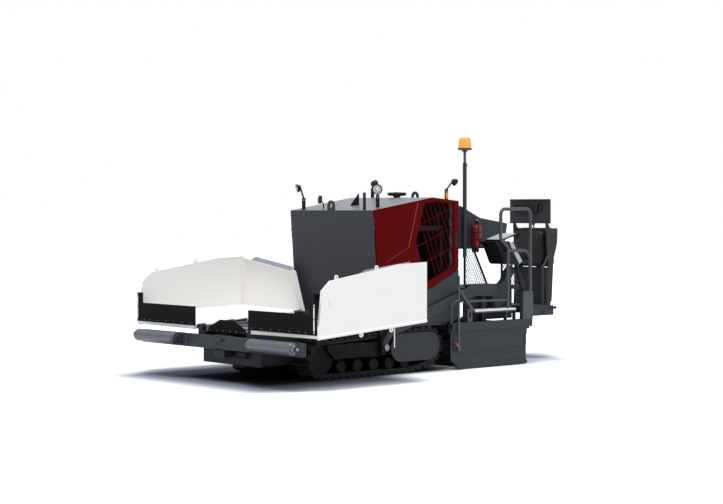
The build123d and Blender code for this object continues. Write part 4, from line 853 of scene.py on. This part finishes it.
def add_screed_walls():
    """Upright side walls of the screed behind the walkway, each with its bolted stiffener."""
    bm = bmesh.new()
    wall = [(-0.620, 0.395), (-0.620, 0.700), (-1.000, 0.850), (-1.385, 0.850), (-1.385, 0.500),
            (-0.935, 0.500), (-0.935, 0.395)]
    stiffener = [(-0.640, 0.640), (-0.640, 0.665), (-1.370, 0.665), (-1.370, 0.640)]
    for _, sign in SIDES:
        slab(bm, wall, 0.541 * sign, 0.552 * sign)
        slab(bm, stiffener, 0.5515 * sign, 0.558 * sign)
        for x in (-0.72, -0.92, -1.12, -1.32):
            hex_bolt(bm, (x, 0.552 * sign, 0.600), (0, sign, 0), 0.010)
    add_object(bm, "screed_side_walls", "screed", "frame_black")


def add_bracket_plug():
    """Round foot of the extinguisher's bracket."""
    bm = bmesh.new()
    profile = [(0, 0.022), (0.062, 0.022), (0.068, 0.024), (0.076, 0.022), (0.078, 0.010)]
    lathe(bm, (BOTTLE_X, 0.298, 1.248), (0, 1, 0), profile, 24)
    add_object(bm, "bracket_plug", "chassis", "pocket_black", True)


def add_roof_skin():
    """Thin lighter skin over both slopes of the roof, with the sky's sheen painted into its colour."""
    bm = bmesh.new()
    width = 2 * SKIN_HALF / SKIN_COLUMNS
    for (x0, z0), (x1, z1) in zip(SKIN_LINE, SKIN_LINE[1:]):
        for column in range(SKIN_COLUMNS):
            y0, y1 = -SKIN_HALF + column * width, -SKIN_HALF + (column + 1) * width
            corners = [(x0, y0, z0), (x0, y1, z0), (x1, y1, z1), (x1, y0, z1)]
            prism(bm, corners, [(x, y, z + SKIN_THICK) for x, y, z in corners])
    bmesh.ops.remove_doubles(bm, verts=bm.verts, dist=0.00001)
    add_object(bm, "roof_skin", "chassis", "roof_painted_sheen")


add_screed_walls()
add_bracket_plug()
add_roof_skin()


# ---------------------------------------------------------------- seat
PAD_CUTS = 18
RIM_SHARE = 0.99        # a vertex beyond this share of the half size lies on the pad's rim
CROWN_POWER = 0.45


def crowned_pad(name, body, low, high, crown, corner, pull=0.006):
    """Closed vinyl pad: rounded corners, crowned faces, and sides drawn in between the corners."""
    middle = [(a + b) / 2 for a, b in zip(low, high)]
    half_x, half_y, half_z = [(b - a) / 2 for a, b in zip(low, high)]
    bm = bmesh.new()
    bmesh.ops.create_cube(bm, size=2)
    bmesh.ops.subdivide_edges(bm, edges=bm.edges[:], cuts=PAD_CUTS, use_grid_fill=True)
    for vert in bm.verts:
        w, u, v = vert.co
        y, z = abs(u) * half_y, abs(v) * half_z
        past_y, past_z = y - (half_y - corner), z - (half_z - corner)
        if past_y > 0 and past_z > 0:
            shrink = max(past_y, past_z) / math.hypot(past_y, past_z)
            y, z = half_y - corner + past_y * shrink, half_z - corner + past_z * shrink
        if abs(u) > RIM_SHARE:
            y -= pull * (1 - v * v)
        if abs(v) > RIM_SHARE:
            z -= pull * (1 - u * u)
        fall = (max(0, 1 - u * u) * max(0, 1 - v * v)) ** CROWN_POWER
        depth = half_x - crown + crown * fall
        vert.co = (middle[0] + w * depth, middle[1] + math.copysign(y, u), middle[2] + math.copysign(z, v))
    obj = add_object(bm, name, body, "seat_vinyl", True)
    smooth = obj.modifiers.new("round", "SUBSURF")
    smooth.levels = smooth.render_levels = 1
    return obj


def rounded_loop(x, y0, y1, z0, z1, r):
    """Points of a rectangle with cut corners at one X."""
    cut = r * 0.3
    loop = [(y0 + r, z0), (y1 - r, z0), (y1 - cut, z0 + cut), (y1, z0 + r),
            (y1, z1 - r), (y1 - cut, z1 - cut), (y1 - r, z1), (y0 + r, z1),
            (y0 + cut, z1 - cut), (y0, z1 - r), (y0, z0 + r), (y0 + cut, z0 + cut)]
    return [(x, y, z) for y, z in loop]


def add_seat_hardware():
    """Round height knob, the small belt box and the seam bar on the folded seat."""
    bm = bmesh.new()
    knob = [(0, 0.034), (0.010, 0.034), (0.016, 0.026), (0.018, 0.010)]
    lathe(bm, (-2.166, -0.098, 1.402), FORWARD, knob, 28)
    bevelled_box(bm, (-2.168, -0.010, 1.120), (-2.1525, 0.075, 1.185), 0.006)
    bevelled_box(bm, (-2.167, -0.005, 1.226), (-2.1615, 0.262, 1.238), 0.001)
    add_object(bm, "seat_hardware", "tip_up_seat", "plastic_black")


def add_head_board():
    """Knob on top of the seat's back, and the black cover of the lamp box on the head board."""
    knob = bmesh.new()
    profile = [(0, 0.007), (0.030, 0.007), (0.034, 0.018), (0.050, 0.018), (0.056, 0.010)]
    lathe(knob, (-2.327, 0.020, 1.484), UP, profile, 20)
    add_object(knob, "head_knob", "seat_pod", "plastic_black", True)
    cover = bmesh.new()
    bevelled_box(cover, (-2.2055, -0.1415, 1.6535), (-2.1485, 0.2215, 1.7715), 0.010, 3)
    add_object(cover, "head_lamp_cover", "seat_pod", "plastic_black")


def add_cheek_covers():
    """Dark vinyl faces on both side cheeks of the seat frame."""
    bm = bmesh.new()
    outline = [(-2.2015, 1.5585), (-2.2242, 1.5585), (-2.2692, 1.4785), (-2.3935, 1.4785), (-2.3935, 1.3303),
               (-2.3786, 1.2605), (-2.3286, 1.1205), (-2.2987, 0.6410), (-2.2395, 0.6015), (-2.2112, 0.6015),
               (-2.2415, 1.0799), (-2.2115, 1.3001)]
    for y in (-0.1880, 0.3280):
        slab(bm, outline, y - 0.0014, y + 0.0014)
    add_object(bm, "cheek_covers", "seat_pod", "seat_vinyl")


back_pad = crowned_pad("seat_back_pad", "seat_pod", (-2.3915, -0.165, 1.031), (-2.2625, 0.305, 1.489),
                       crown=0.020, corner=0.07)
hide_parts("seat_back")
pad = crowned_pad("seat_cushion_pad", "tip_up_seat", (-2.2495, -0.130, 1.085), (-2.180, 0.270, 1.445),
                  crown=0.012, corner=0.06)
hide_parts("seat_cushion")
add_tube("seat_back_piping", "seat_pod", "piping",
         rounded_loop(-2.2700, -0.150, 0.290, 1.048, 1.474, 0.07), 0.0035, closed=True)
shell = crowned_pad("seat_shell_cover", "tip_up_seat", (-2.1815, -0.132, 1.060), (-2.1635, 0.272, 1.452),
                    crown=0.004, corner=0.055, pull=0.003)
add_tube("seat_panel_seam", "tip_up_seat", "piping",
         rounded_loop(-2.1642, -0.085, 0.225, 1.100, 1.415, 0.055), 0.0026, closed=True)
add_tube("seat_panel_seam_low", "tip_up_seat", "piping",
         rounded_loop(-2.1642, -0.040, 0.120, 1.108, 1.180, 0.02), 0.0022, closed=True)
add_seat_hardware()
add_head_board()
add_cheek_covers()
